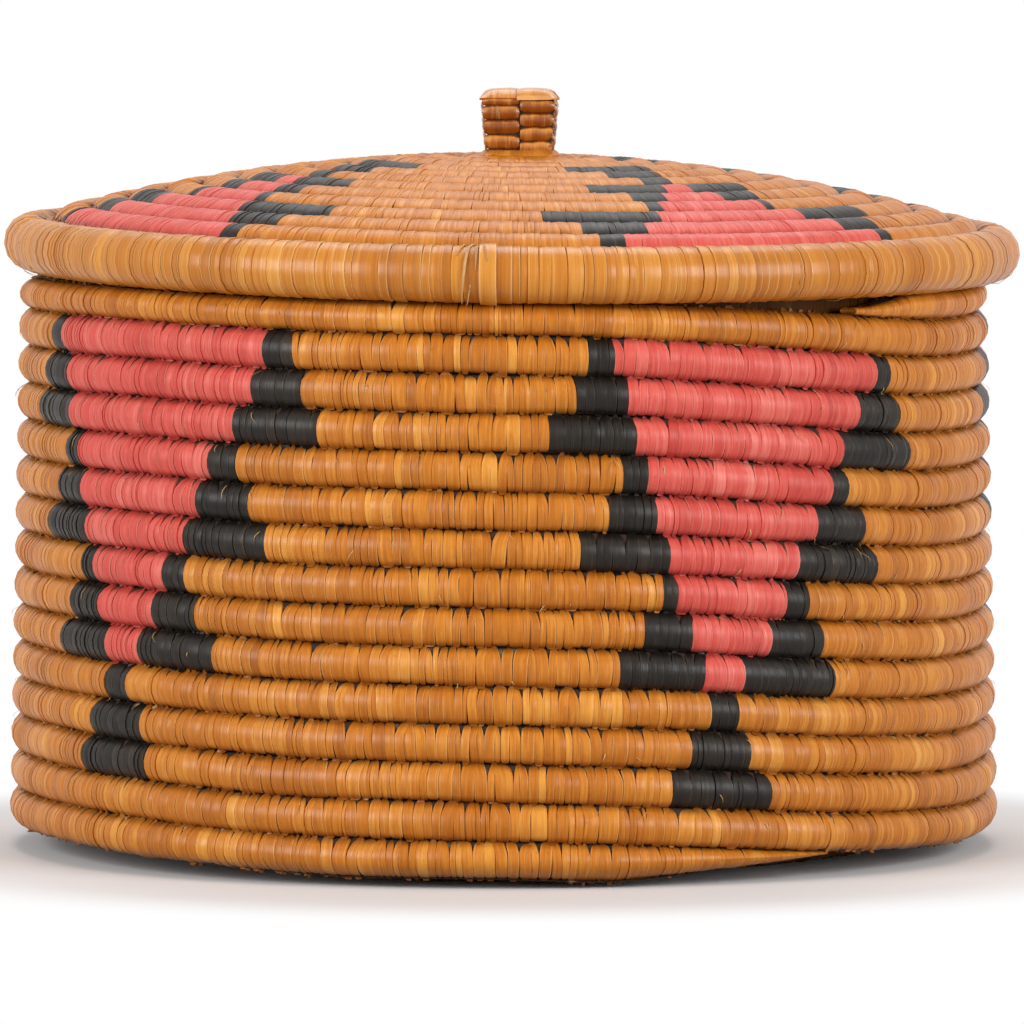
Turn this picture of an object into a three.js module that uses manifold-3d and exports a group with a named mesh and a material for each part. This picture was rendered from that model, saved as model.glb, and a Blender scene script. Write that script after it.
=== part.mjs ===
// Lidded coiled basket. One long bundle of stems, wrapped in leaf strips, is wound up course on course
// and sewn to itself as the wall. A second coil is the base, and a third is the domed lid with its
// thick rim, its locating ring and its plaited knob. Dyed strips make the stepped motifs.
//
// Millimetres, +Z up, front towards -Y. The origin is on the floor, under the middle of the lid.
// An azimuth is in degrees from the front and grows towards +X.

import * as THREE from "three";
import { mergeVertices } from "three/addons/utils/BufferGeometryUtils.js";
import Module from "manifold-3d";

const wasm = await Module();
wasm.setup();

// Driving dimensions of the wall
const coilPitch = 10.6; // height of one course
const wallHeight = 160.3; // floor to the top of the wall, before it dips and waves
const mouthRadius = 139; // over the coils, at the mouth
const footRadius = 142.6; // over the coils, at the foot
const wallThickness = 10;
const courseDip = 3.5; // how much lower the courses lie on the right, and higher on the left
// Slight waves that run round all courses: lobes in a turn, height, and azimuth of a crest
const courseWaves = [
  [4, 1.15, 24],
  [3, 1.5, -11],
];
const lidPress = 2.3; // how far the lid has pressed down the top of the wall
const grooveDepth = 2.2; // between two courses of the wall, outside and inside
const footTuck = 12; // how far the lowest course curls in to the floor
const footTuckHeight = 8;
const tipAzimuth = 22; // where the wall's coil runs out under the lid
const tipTaper = 72; // degrees over which the coil thins to its tip
// The round top of the wall: distances in from the coils, and heights above the edge
const wallLip = [
  [5.4, 0.5],
  [wallThickness, -3],
];

// Driving dimensions of the base
const baseThickness = 9.5;
const baseCoilPitch = 10.5;
const baseGrooveDepth = 1.5;
const hubRadius = 16; // the flat start of a spiral coil

// Driving dimensions of the lid
const lidShift = 2.4; // how far the lid sits to the right within its play
const lidPlay = 3.2; // between the locating ring and the wall, with the lid in the middle
const lidRise = 26.9; // top of the dome above the middle of the rim's coil
const domeRadius = 500; // of the sphere that the dome is part of
const lidThickness = 9;
const lidCoilPitch = 10.5;
const lidGrooveDepth = 2;
const settleForward = 3.8; // the lid dips this much at the front and lifts as much at the back
const settleRight = 1.65; // and dips this much on the right
const settleBow = 1; // front and back droop, and the sides lift

// Driving dimensions of the rim and of the locating ring
const rimOverhang = 6.9; // of the rim past the mouth
const rimWidth = 14;
const rimHeight = 15;
const rimStand = 3.6; // from the top of the wall to the rim, before the lid settles
const rimOverlap = 2.5; // of the rim over the lid's first row
const ringWidth = 9;
const ringHeight = 18;

const rimOuterRadius = mouthRadius + rimOverhang;
const rimRadius = rimOuterRadius - rimWidth / 2;
const rimLevel = wallHeight + rimStand + rimHeight / 2; // middle of the rim's coil
const lidFrontEdge = rimOuterRadius - rimWidth + rimOverlap; // of the first full row, at the front

// Driving dimensions of the knob
const knobShift = 2.2; // from the middle of the lid to the right
const strandWidth = 10.4;
const strandThickness = 0.65;
const strandLevel = 1; // from one crossing strand to the next
const knobPasses = 10; // crossings of the two upper strands
const collarHeight = 2.2;
const collarWidth = 2.4; // at its foot
const collarTopWidth = 1;

// Dyed strips
const dyeDepth = 5; // thickness of a dyed patch, from the top of its coils
const wallMotif = {
  centres: [29.8, -44.8, -116.5, -187.5, -258.5],
  leans: [-0.5, -0.32, -0.4, -0.4, -0.4], // degrees that each row is moved by
  firstRow: 1, // rows of plain coil above the motif
  fieldRows: 9,
  fieldHalf: 17.4, // degrees from the centre to the edge of the field, in the widest row
  fieldStep: 1.82, // degrees less in each row
  borders: [3, 6.2, 10.2], // degrees, in turn
  feet: [1.6, 3.8, 5.8], // half widths of the closing rows, in degrees
};
const lidMotif = {
  centres: [32, -56, -147, -238],
  leans: [0.3, 0.3, 0.3, 0.3],
  firstRow: 0,
  fieldRows: 6,
  fieldHalf: 18.3,
  fieldStep: 3,
  borders: [4.2, 7.7, 16],
  feet: [3.5, 9.3, 18],
};

// Fineness of the facets
const wallSteps = 20; // steps in one turn
const lidSteps = 16;
const baseSteps = 12;
const ringSteps = 20;
const rimSides = 8; // sides of the rim's section
const ringSides = 6;
const ledgeSteps = 3; // steps of the wall from one corner of a long ledge to the next
const foldSteps = 2; // steps in one fold of a strand
const finestStep = 0.1; // degrees

const clearance = 0.3; // between pieces that touch on the real basket

const natural = { color: 0xd9a05b, roughness: 0.62 };
const rimTone = { color: 0xd6954a, roughness: 0.55 };
const coral = { color: 0xdc5f64, roughness: 0.7 };
const black = { color: 0x32302b, roughness: 0.6 };
const glossy = { color: 0xb9752f, roughness: 0.38 };

const radians = THREE.MathUtils.degToRad;
const at = (azimuth, radius, height) =>
  new THREE.Vector3(
    radius * Math.sin(radians(azimuth)),
    -radius * Math.cos(radians(azimuth)),
    height,
  );

// Solids

// A triangle mesh under construction, whose vertices are shared by name.
class Skin {
  constructor() {
    this.points = [];
    this.names = new Map();
    this.faces = [];
  }

  vertex(name, point) {
    if (!this.names.has(name)) {
      this.names.set(name, this.points.length);
      this.points.push(point);
    }
    return this.names.get(name);
  }

  // A face with its corners in order, seen from outside.
  face(...corners) {
    for (let i = 1; i + 1 < corners.length; i += 1) {
      this.faces.push(corners[0], corners[i], corners[i + 1]);
    }
  }

  geometry() {
    const geometry = new THREE.BufferGeometry().setFromPoints(this.points);
    geometry.setIndex(this.faces);
    return geometry;
  }
}

// A closed mesh as a solid for joining and cutting, with its shared vertices merged.
function toSolid(geometry) {
  const bare = geometry.clone();
  bare.deleteAttribute("normal");
  bare.deleteAttribute("uv");
  const merged = mergeVertices(bare, 1e-4);
  const index = merged.index.array;
  const kept = [];
  for (let i = 0; i < index.length; i += 3) {
    const [a, b, c] = [index[i], index[i + 1], index[i + 2]];
    if (a !== b && b !== c && c !== a) kept.push(a, b, c);
  }
  return new wasm.Manifold(
    new wasm.Mesh({
      numProp: 3,
      vertProperties: new Float32Array(merged.attributes.position.array),
      triVerts: new Uint32Array(kept),
    }),
  );
}

function toGeometry(solid) {
  const mesh = solid.getMesh();
  const geometry = new THREE.BufferGeometry();
  geometry.setAttribute("position", new THREE.BufferAttribute(mesh.vertProperties, 3));
  geometry.setIndex(new THREE.BufferAttribute(mesh.triVerts, 1));
  return geometry;
}

// A profile of [radius, height] points, turned about the vertical axis from an azimuth.
function turned(profile, steps, start = 0) {
  const points = profile.map(([radius, height]) => new THREE.Vector2(radius, height));
  const geometry = new THREE.LatheGeometry(points, steps, radians(start));
  return geometry.rotateX(Math.PI / 2);
}

// A solid disc from one height to another
function disc(radius, low, high, steps, start = 0) {
  const profile = [
    [0, low],
    [radius, low],
    [radius, high],
    [0, high],
  ];
  return toSolid(turned(profile, steps, start));
}

// The section of a flattened coil, as the profile of a ring.
function ovalProfile(radius, height, width, tallness, sides) {
  return Array.from({ length: sides + 1 }, (_, i) => {
    const turn = (2 * Math.PI * (i % sides)) / sides;
    return [radius + (width / 2) * Math.cos(turn), height + (tallness / 2) * Math.sin(turn)];
  });
}

// A flat outline made thick, from one height to another
function upright(outline, from, to) {
  const shape = new THREE.Shape(outline.map(([x, y]) => new THREE.Vector2(x, y)));
  const block = new THREE.ExtrudeGeometry(shape, { depth: to - from, bevelEnabled: false });
  return block.translate(0, 0, from);
}

// Lays the faces of a coil whose courses follow each other without a break. After u steps,
// place(u, part) is a point of the groove (part 0) or of one of the crests of the course.
function layCourses(skin, steps, courses, place) {
  const corner = (u, part) => skin.vertex(`${u} ${part}`, place(u, part));
  for (let u = 0; u < steps * courses; u += 1) {
    for (let part = 0; part <= crests.length; part += 1) {
      const far = part < crests.length ? (v) => corner(v, part + 1) : (v) => corner(v + steps, 0);
      skin.face(corner(u, part), far(u), far(u + 1), corner(u + 1, part));
    }
  }
  return corner;
}

// The groove and the crests of a course at one end of the coil
const courseEnd = (corner, u) => [0, ...crests].map((_, part) => corner(u, part));

// Wall

const wallFacet = 360 / wallSteps;
const crests = [0.5]; // of the pitch, below the groove
const blockReach = 1.15; // so that the flat faces of a block still clear the round wall
const baseRadius = footRadius - footTuck - wallThickness; // of the hole in the wall's curled-in foot

// Height of groove k of the wall, where groove 0 is the top. It falls by one course in each turn.
function grooveHeight(k, azimuth) {
  let height = wallHeight - coilPitch * (k + azimuth / 360) - courseDip * Math.sin(radians(azimuth));
  for (const [lobes, swing, crest] of courseWaves) {
    height += swing * Math.cos(lobes * radians(azimuth - crest));
  }
  return height;
}

// Radius over the coils at a height: a slight cone whose lowest course curls in.
function crestRadius(height) {
  const cone = THREE.MathUtils.lerp(footRadius, mouthRadius, height / wallHeight);
  const low = Math.max(0, 1 - Math.max(height, 0) / footTuckHeight);
  return cone - footTuck * low * low;
}

const innerRadius = (height) =>
  THREE.MathUtils.lerp(footRadius, mouthRadius, height / wallHeight) - wallThickness;

// Everything below a height
function ground(height) {
  const block = new THREE.BoxGeometry(4 * footRadius, 4 * footRadius, footRadius);
  return toSolid(block.translate(0, 0, height - footRadius / 2));
}

// A solid tower whose side is a coil that winds down from its top edge. Rings of points lead from
// that edge to the middle of the top.
function coiledTower(courses, place, rings) {
  const skin = new Skin();
  const corner = layCourses(skin, wallSteps, courses, place);
  const edges = [
    (i) => corner(i, 0),
    ...rings.map((ring, n) => (i) => {
      const u = i % wallSteps;
      return skin.vertex(`ring ${n} ${u}`, ring(u));
    }),
  ];
  const last = wallSteps * courses;
  const above = skin.vertex("above", at(0, 0, place(0, 0).z));
  const below = skin.vertex("below", at(0, 0, place(last, 0).z));
  for (let i = 0; i < wallSteps; i += 1) {
    for (let n = 1; n < edges.length; n += 1) {
      skin.face(edges[n](i), edges[n - 1](i), edges[n - 1](i + 1), edges[n](i + 1));
    }
    skin.face(above, edges.at(-1)(i), edges.at(-1)(i + 1));
    skin.face(corner(last + i, 0), below, corner(last + i + 1, 0));
  }
  // The steps where the first course starts and the last one stops
  if (rings.length === 0) {
    skin.face(above, corner(wallSteps, 0), ...courseEnd(corner, 0).reverse());
  }
  skin.face(below, ...courseEnd(corner, last), corner(last + wallSteps, 0));
  return toSolid(skin.geometry());
}

// A disc that goes through the whole base
const baseDisc = (radius) =>
  disc(radius, -baseThickness, 2 * baseThickness, wallSteps, tipAzimuth);

function wallBlank() {
  const courses = Math.ceil(wallHeight / coilPitch) + 2;
  const azimuthOf = (u) => tipAzimuth + (360 * u) / wallSteps;
  const plainHeight = (u) => grooveHeight(0, azimuthOf(u) - 360);
  const shareOf = (part) => (part === 0 ? 0 : crests[part - 1]);
  // How much of its full height the coil has after u steps from the tip.
  const fullness = (u) => Math.min(1, (360 * u) / wallSteps / tipTaper);
  const outside = (u, part) => {
    const below = plainHeight(u + wallSteps);
    const pressed = part === 0 && u < wallSteps ? lidPress : 0;
    const height = below + (coilPitch * (1 - shareOf(part)) - pressed) * fullness(u);
    const depth = part === 0 ? grooveDepth : grooveDepth * (1 - fullness(u));
    return at(azimuthOf(u), crestRadius(height) - depth, height);
  };
  const lip = wallLip.map(([inset, lift]) => (u) => {
    const edge = outside(u, 0).z;
    return at(azimuthOf(u), crestRadius(edge) - inset, edge + lift);
  });
  // The hollow has the same courses, and starts one course above the tip.
  const inside = (u, part) => {
    const height = plainHeight(u) + coilPitch * (1 - shareOf(part));
    return at(azimuthOf(u), innerRadius(height) + (part === 0 ? grooveDepth : 0), height);
  };
  const hollow = coiledTower(courses, inside, []).subtract(ground(baseThickness));
  return coiledTower(courses, outside, lip)
    .subtract(hollow)
    .subtract(baseDisc(baseRadius))
    .subtract(ground(0));
}

// An outline with more corners, one wherever it passes into the next of the facets that a coil has
// from a starting azimuth on
function bent(outline, facet, start) {
  return outline.flatMap((corner, i) => {
    const next = outline[(i + 1) % outline.length];
    const way = Math.sign(next.azimuth - corner.azimuth);
    const steps = (corner.azimuth - start) / facet;
    const corners = [corner];
    let azimuth = start + facet * (way > 0 ? Math.ceil(steps) : Math.floor(steps));
    for (; way * (next.azimuth - azimuth) > finestStep; azimuth += way * facet) {
      if (way * (azimuth - corner.azimuth) > finestStep) corners.push({ ...next, azimuth });
    }
    return corners;
  });
}

const wallCoil = {
  leastRadius: () => Math.min(mouthRadius, footRadius),

  // Everything within an outline
  block(outline) {
    const flat = bent(outline, ledgeSteps * wallFacet, tipAzimuth).map(({ azimuth, groove, offset }) => [
      azimuth,
      grooveHeight(groove, azimuth) + offset,
    ]);
    const inside = Math.min(mouthRadius, footRadius) - 2 * wallThickness;
    const outside = blockReach * Math.max(mouthRadius, footRadius);
    const block = upright(flat, inside, outside);
    const corners = block.attributes.position;
    for (let i = 0; i < corners.count; i += 1) {
      const point = at(corners.getX(i), corners.getZ(i), corners.getY(i));
      corners.setXYZ(i, point.x, point.y, point.z);
    }
    return toSolid(block);
  },

  // Everything deeper than a distance below the top of the coils
  core(depth) {
    const [low, high] = [footTuckHeight, wallHeight + coilPitch];
    const profile = [
      [0, low],
      [crestRadius(low) - depth, low],
      [crestRadius(high) - depth, high],
      [0, high],
    ];
    return toSolid(turned(profile, wallSteps, tipAzimuth));
  },
};

// Lid

const lidFacet = 360 / lidSteps;
const lidGroove = (k, azimuth) => lidFrontEdge - lidCoilPitch * (k - azimuth / 360);
const domeRings = [rimOuterRadius, 0.55 * rimOuterRadius]; // where its smooth faces bend
const domeHeight = (radius) => {
  const drop = domeRadius - Math.sqrt(domeRadius ** 2 - radius ** 2);
  return rimLevel + lidRise - drop;
};

// How far a point of the lid settles on the uneven mouth of the basket.
function settle(point) {
  const x = point.x / rimRadius;
  const y = point.y / rimRadius;
  return settleForward * y - settleRight * x + settleBow * (x * x - y * y);
}

// A coiled disc with its courses on one face and a smooth second face. With sense -1 the courses
// look up and the coil runs outwards to the right, with 1 they look down and it runs to the left.
function coiledDisc({ steps, pitch, edge, tip, sense, course, smooth, rings }) {
  const skin = new Skin();
  const reach = edge + 2 * pitch;
  const courses = Math.floor((reach - hubRadius) / pitch) - 1;
  const azimuthOf = (u) => tip + (sense * 360 * u) / steps;
  const place = (u, part) => {
    const share = part === 0 ? 0 : crests[part - 1];
    const radius = reach - pitch * (u / steps + share);
    return at(azimuthOf(u), radius, course(radius, part));
  };
  const corner = layCourses(skin, steps, courses, place);
  const last = steps * courses;
  const ringCorner = (i, name, radius, height) =>
    skin.vertex(`${name} ${i % steps}`, at(azimuthOf(i % steps), radius, height));
  const hub = (i) => ringCorner(i, "hub", hubRadius, course(hubRadius, 1));
  const back = (i, ring) => ringCorner(i, ring, rings[ring], smooth(rings[ring]));
  const far = rings.length - 1;
  const middle = skin.vertex("middle", at(0, 0, course(0, 1)));
  const backMiddle = skin.vertex("back middle", at(0, 0, smooth(0)));
  for (let i = 0; i < steps; i += 1) {
    skin.face(hub(i), middle, hub(i + 1));
    skin.face(corner(last + i, 0), hub(i), hub(i + 1), corner(last + i + 1, 0));
    skin.face(back(i, 0), corner(i, 0), corner(i + 1, 0), back(i + 1, 0));
    for (let ring = 0; ring < far; ring += 1) {
      skin.face(back(i, ring + 1), back(i, ring), back(i + 1, ring), back(i + 1, ring + 1));
    }
    skin.face(backMiddle, back(i, far), back(i + 1, far));
  }
  // The steps that the coil leaves where its first course starts and its last course stops
  skin.face(back(0, 0), corner(steps, 0), ...courseEnd(corner, 0).reverse());
  skin.face(hub(0), ...courseEnd(corner, last), corner(last + steps, 0));
  return toSolid(skin.geometry());
}

function lidBlank() {
  return coiledDisc({
    steps: lidSteps,
    pitch: lidCoilPitch,
    edge: lidFrontEdge,
    tip: 0,
    sense: -1,
    course: (radius, part) => domeHeight(radius) - (part === 0 ? lidGrooveDepth : 0),
    smooth: (radius) => domeHeight(radius) - lidThickness,
    rings: domeRings,
  });
}

const lidCoil = {
  leastRadius: (row, azimuth) => lidGroove(row + 1, azimuth),

  // Everything within an outline, whose corners lie on the straight edges of the facets
  block(outline) {
    const corners = bent(outline, lidFacet, 0).map(({ azimuth, groove, offset }) => {
      const first = lidFacet * Math.floor(azimuth / lidFacet);
      const onGroove = (place) => {
        const radius = lidGroove(groove, place);
        // A row that begins close to the rim goes on under it.
        const covered = radius > lidFrontEdge - rimOverlap;
        return at(place, covered ? rimOuterRadius : radius + offset, 0);
      };
      const share = (azimuth - first) / lidFacet;
      const { x, y } = onGroove(first).lerp(onGroove(first + lidFacet), share);
      return [x, y];
    });
    const top = rimLevel + lidRise + lidThickness;
    return toSolid(upright(corners, rimLevel - rimHeight, top));
  },

  core(depth) {
    const low = rimLevel - rimHeight;
    const dome = [...domeRings, 0].map((radius) => [radius, domeHeight(radius) - depth]);
    return toSolid(turned([[0, low], [rimOuterRadius, low], ...dome], lidSteps));
  },
};

// Motifs

// The stretches of coil that each patch of one motif takes up, as [row, from, to] in degrees.
function motifRows(motif, centre, lean) {
  const rows = { border_left: [], border_right: [], foot: [], field: [] };
  for (let i = 0; i < motif.fieldRows; i += 1) {
    const row = motif.firstRow + i;
    const middle = centre + lean * i;
    const half = motif.fieldHalf - motif.fieldStep * i;
    const border = motif.borders[i % motif.borders.length];
    rows.field.push([row, middle - half, middle + half]);
    rows.border_left.push([row, middle - half - border, middle - half]);
    rows.border_right.push([row, middle + half, middle + half + border]);
  }
  motif.feet.forEach((half, i) => {
    const count = motif.fieldRows + i;
    const middle = centre + lean * count;
    rows.foot.push([motif.firstRow + count, middle - half, middle + half]);
  });
  return rows;
}

// Outline of a patch, down its left side and back up on the right. Each corner lies beside a groove
// of the coil. The rows are moved outwards by `grow` all round, but two rows that lie on each other
// stay joined.
function steppedOutline(coil, rows, grow) {
  // Way -1 is the left side, and end is where a row keeps its azimuth there.
  const chain = (way, end) =>
    rows.flatMap((row, i) => {
      const sticksOut = (other) => !other || way * (row[end] - other[end]) > 0;
      const side = THREE.MathUtils.radToDeg(grow / coil.leastRadius(row[0], row[end]));
      const azimuth = row[end] + way * side;
      return [
        { azimuth, groove: row[0], offset: sticksOut(rows[i - 1]) ? grow : -grow },
        { azimuth, groove: row[0] + 1, offset: sticksOut(rows[i + 1]) ? -grow : grow },
      ];
    });
  return [...chain(-1, 1), ...chain(1, 2).reverse()];
}

// The rows of a whole motif, from its leftmost to its rightmost patch.
function wholeRows(patches) {
  const ends = new Map();
  for (const [row, from, to] of Object.values(patches).flat()) {
    const [start, end] = ends.get(row) ?? [from, to];
    ends.set(row, [Math.min(start, from), Math.max(end, to)]);
  }
  return [...ends].map(([row, [from, to]]) => [row, from, to]).sort((a, b) => a[0] - b[0]);
}

// Cuts the recesses for all motifs into a coiled blank. Gives back the rest of the blank and the
// dyed patches by name.
function dye(blank, motif, coil) {
  const floor = coil.core(dyeDepth + clearance);
  const back = coil.core(dyeDepth);
  let rest = blank;
  const patches = new Map();
  motif.centres.forEach((centre, i) => {
    const rows = motifRows(motif, centre, motif.leans[i]);
    const whole = coil.block(steppedOutline(coil, wholeRows(rows), clearance / 2));
    rest = rest.subtract(whole.subtract(floor));
    for (const [kind, stretches] of Object.entries(rows)) {
      const block = coil.block(steppedOutline(coil, stretches, -clearance / 2));
      patches.set(`${i + 1}_${kind}`, blank.intersect(block).subtract(back));
    }
  });
  return { rest, patches };
}

// Knob

// The side view of one strand: it is folded to and fro, each fold wraps the edge of a crossing
// strand, and it climbs two levels in each fold.
function strandOutline(passes, firstWay, start) {
  const reach = strandWidth; // each strand crosses the knob above two strands lying side by side
  const half = strandThickness / 2;
  const sides = { left: [], right: [] };
  for (let pass = 0; pass < passes; pass += 1) {
    const way = pass % 2 === 0 ? firstWay : -firstWay;
    const height = start + 2 * strandLevel * pass;
    if (pass === 0) {
      sides.left.push(new THREE.Vector2(-way * reach, height + way * half));
      sides.right.push(new THREE.Vector2(-way * reach, height - way * half));
    }
    if (pass === passes - 1) {
      sides.left.push(new THREE.Vector2(way * reach, height + way * half));
      sides.right.push(new THREE.Vector2(way * reach, height - way * half));
      break;
    }
    for (let i = 0; i <= foldSteps; i += 1) {
      const turn = Math.PI * (i / foldSteps - 0.5);
      const onFold = (radius) =>
        new THREE.Vector2(
          way * (reach + radius * Math.cos(turn)),
          height + strandLevel + radius * Math.sin(turn),
        );
      sides.left.push(onFold(strandLevel - way * half));
      sides.right.push(onFold(strandLevel + way * half));
    }
  }
  return new THREE.Shape([...sides.left, ...sides.right.reverse()]);
}

// A folded strand that runs along X, on one side of the middle line.
function strand(passes, firstWay, start, sideways) {
  const outline = strandOutline(passes, firstWay, start);
  const width = strandWidth - clearance / 2;
  const folded = new THREE.ExtrudeGeometry(outline, { depth: width, bevelEnabled: false });
  folded.rotateX(Math.PI / 2);
  return folded.translate(0, sideways > 0 ? clearance / 2 + width : -clearance / 2, 0);
}

// Assembly

const basket = new THREE.Group();
basket.name = "coiled_basket";

function addPiece(group, name, geometry, look) {
  const material = new THREE.MeshStandardMaterial({ ...look, metalness: 0 });
  material.name = name;
  const mesh = new THREE.Mesh(geometry, material);
  mesh.name = name;
  group.add(mesh);
  return mesh;
}

const patchLook = (name) => (name.endsWith("field") ? coral : black);

function addWall(holder) {
  const { rest, patches } = dye(wallBlank(), wallMotif, wallCoil);
  addPiece(holder, "wall_coil", toGeometry(rest), natural);
  for (const [name, patch] of patches) {
    addPiece(holder, `wall_motif_${name}`, toGeometry(patch), patchLook(name));
  }
}

function addBase(holder) {
  const edge = baseRadius - clearance;
  const spiral = coiledDisc({
    steps: baseSteps,
    pitch: baseCoilPitch,
    edge,
    tip: tipAzimuth,
    sense: 1,
    course: (_, part) => (part === 0 ? baseGrooveDepth : 0),
    smooth: () => baseThickness,
    rings: [edge + baseCoilPitch],
  });
  const coil = spiral.intersect(baseDisc(edge));
  addPiece(holder, "base_coil", toGeometry(coil), natural);
}

// Moves every vertex of a lid piece to where the settled lid has it.
function settled(geometry) {
  const place = geometry.attributes.position;
  const point = new THREE.Vector3();
  for (let i = 0; i < place.count; i += 1) {
    point.fromBufferAttribute(place, i);
    place.setZ(i, point.z + settle(point));
  }
  return geometry;
}

function addLid(lid) {
  const rimOval = (grow) =>
    turned(
      ovalProfile(rimRadius, rimLevel, rimWidth + 2 * grow, rimHeight + 2 * grow, rimSides),
      ringSteps,
    );
  addPiece(lid, "lid_rim", settled(toGeometry(toSolid(rimOval(0)))), rimTone);

  const ringRadius = mouthRadius - wallThickness - lidPlay - ringWidth / 2;
  const ringHead = domeHeight(ringRadius + ringWidth / 2) - lidThickness - 2 * clearance;
  const ring = turned(
    ovalProfile(ringRadius, ringHead - ringHeight / 2, ringWidth, ringHeight, ringSides),
    lidSteps,
  );
  addPiece(lid, "lid_locating_ring", settled(toGeometry(toSolid(ring))), natural);

  // The lid's coil ends under the rim, which is sewn over its edge.
  const round = disc(
    rimRadius,
    rimLevel - rimHeight,
    rimLevel + lidRise + lidThickness,
    ringSteps,
  );
  const skirt = turned(
    [
      [rimRadius - rimWidth / 2, rimLevel - rimHeight],
      [rimRadius + rimWidth, rimLevel - rimHeight],
      [rimRadius + rimWidth, rimLevel],
      [rimRadius - rimWidth / 2 - clearance, rimLevel],
      [rimRadius - rimWidth / 2, rimLevel - rimHeight],
    ],
    ringSteps,
  );
  const blank = lidBlank()
    .intersect(round)
    .subtract(toSolid(skirt))
    .subtract(toSolid(rimOval(clearance)));
  const { rest, patches } = dye(blank, lidMotif, lidCoil);
  addPiece(lid, "lid_coil", settled(toGeometry(rest)), natural);
  for (const [name, patch] of patches) {
    addPiece(lid, `lid_motif_${name}`, settled(toGeometry(patch)), patchLook(name));
  }
  addKnob(lid);
}

function addKnob(lid) {
  const add = (name, geometry, look) => {
    const placed = toGeometry(toSolid(geometry));
    placed.translate(knobShift, 0, rimLevel + lidRise + clearance);
    addPiece(lid, name, settled(placed), look);
  };
  const first = strandLevel / 2;
  const crossing = first + strandLevel;
  const strands = {
    knob_strand_left: strand(knobPasses, 1, first, 1).rotateZ(Math.PI / 2),
    knob_strand_right: strand(knobPasses, -1, first, -1).rotateZ(Math.PI / 2),
    knob_strand_back: strand(knobPasses - 1, 1, crossing, 1),
    knob_strand_front: strand(knobPasses - 1, -1, crossing, -1),
  };
  for (const [name, geometry] of Object.entries(strands)) {
    add(name, geometry, glossy);
  }

  // A square collar round the foot of the knob
  const inner = strandWidth + strandLevel + strandThickness / 2 + clearance;
  const corner = (half) => half * Math.SQRT2;
  const collar = turned(
    [
      [corner(inner), 0],
      [corner(inner + collarWidth), 0],
      [corner(inner + collarTopWidth), collarHeight],
      [corner(inner), collarHeight],
      [corner(inner), 0],
    ],
    4,
  ).rotateZ(Math.PI / 4);
  add("knob_collar", collar, natural);
}

// The lid is at the origin, so the pot below it stands a little to the left.
const pot = new THREE.Group();
pot.name = "pot";
pot.position.x = -lidShift;
const lid = new THREE.Group();
lid.name = "lid";
basket.add(pot, lid);
addWall(pot);
addBase(pot);
addLid(lid);

export default basket;
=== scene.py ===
import logging
from dataclasses import dataclass, replace
from enum import Enum

import bpy
import numpy as np
from mathutils import Matrix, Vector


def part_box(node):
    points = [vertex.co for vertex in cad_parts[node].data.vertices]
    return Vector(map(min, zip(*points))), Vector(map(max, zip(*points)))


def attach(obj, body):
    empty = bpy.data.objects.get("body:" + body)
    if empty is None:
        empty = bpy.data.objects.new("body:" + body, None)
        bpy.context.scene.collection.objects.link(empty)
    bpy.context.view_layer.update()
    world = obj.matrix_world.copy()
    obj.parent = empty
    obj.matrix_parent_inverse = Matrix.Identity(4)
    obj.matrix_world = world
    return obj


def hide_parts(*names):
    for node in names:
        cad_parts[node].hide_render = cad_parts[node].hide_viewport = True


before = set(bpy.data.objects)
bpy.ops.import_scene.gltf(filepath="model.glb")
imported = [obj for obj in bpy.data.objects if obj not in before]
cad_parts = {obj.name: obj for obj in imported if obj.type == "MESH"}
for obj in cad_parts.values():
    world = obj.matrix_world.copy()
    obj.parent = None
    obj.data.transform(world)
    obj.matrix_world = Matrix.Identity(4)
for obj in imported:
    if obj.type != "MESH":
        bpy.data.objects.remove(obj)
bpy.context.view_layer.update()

# Looks of a lidded coiled basket: coils of stems wrapped in leaf strips, with dyed stepped motifs,
# a thick rim and a plaited knob. Metres, +Z up, front towards -Y.
# An azimuth is in degrees from the front and grows towards +X.

log = logging.getLogger("basket")
MM = 0.001
Grid = np.ndarray


def ease(x: Grid) -> Grid:
    """A smooth step from 0 to 1."""
    x = np.clip(x, 0, 1)
    return x * x * (3 - 2 * x)


def ripple(x: Grid, seed: int) -> Grid:
    """A smooth wandering value from about -1 to 1 along x: a sum of sines with seeded waves.

    Args:
        x: Places, where 1 is about the length of one wander.
        seed: Picks the waves.

    Returns:
        The value at each place.
    """
    waves = 5
    picked = np.random.default_rng(seed)
    rates = picked.uniform(0.6, 2.4, waves)
    starts = picked.uniform(0, 2 * np.pi, waves)
    total = sum(np.sin(rate * x * 2 * np.pi / 1.5 + start) for rate, start in zip(rates, starts))
    return total / np.sqrt(waves * 1.2)


class Dye(Enum):
    """What a strip is dyed."""

    PLAIN = 0
    CORAL = 1
    BLACK = 2


class Body(Enum):
    """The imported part's bodies."""

    BASKET = "basket"
    LID = "lid"


# Finishes


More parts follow.
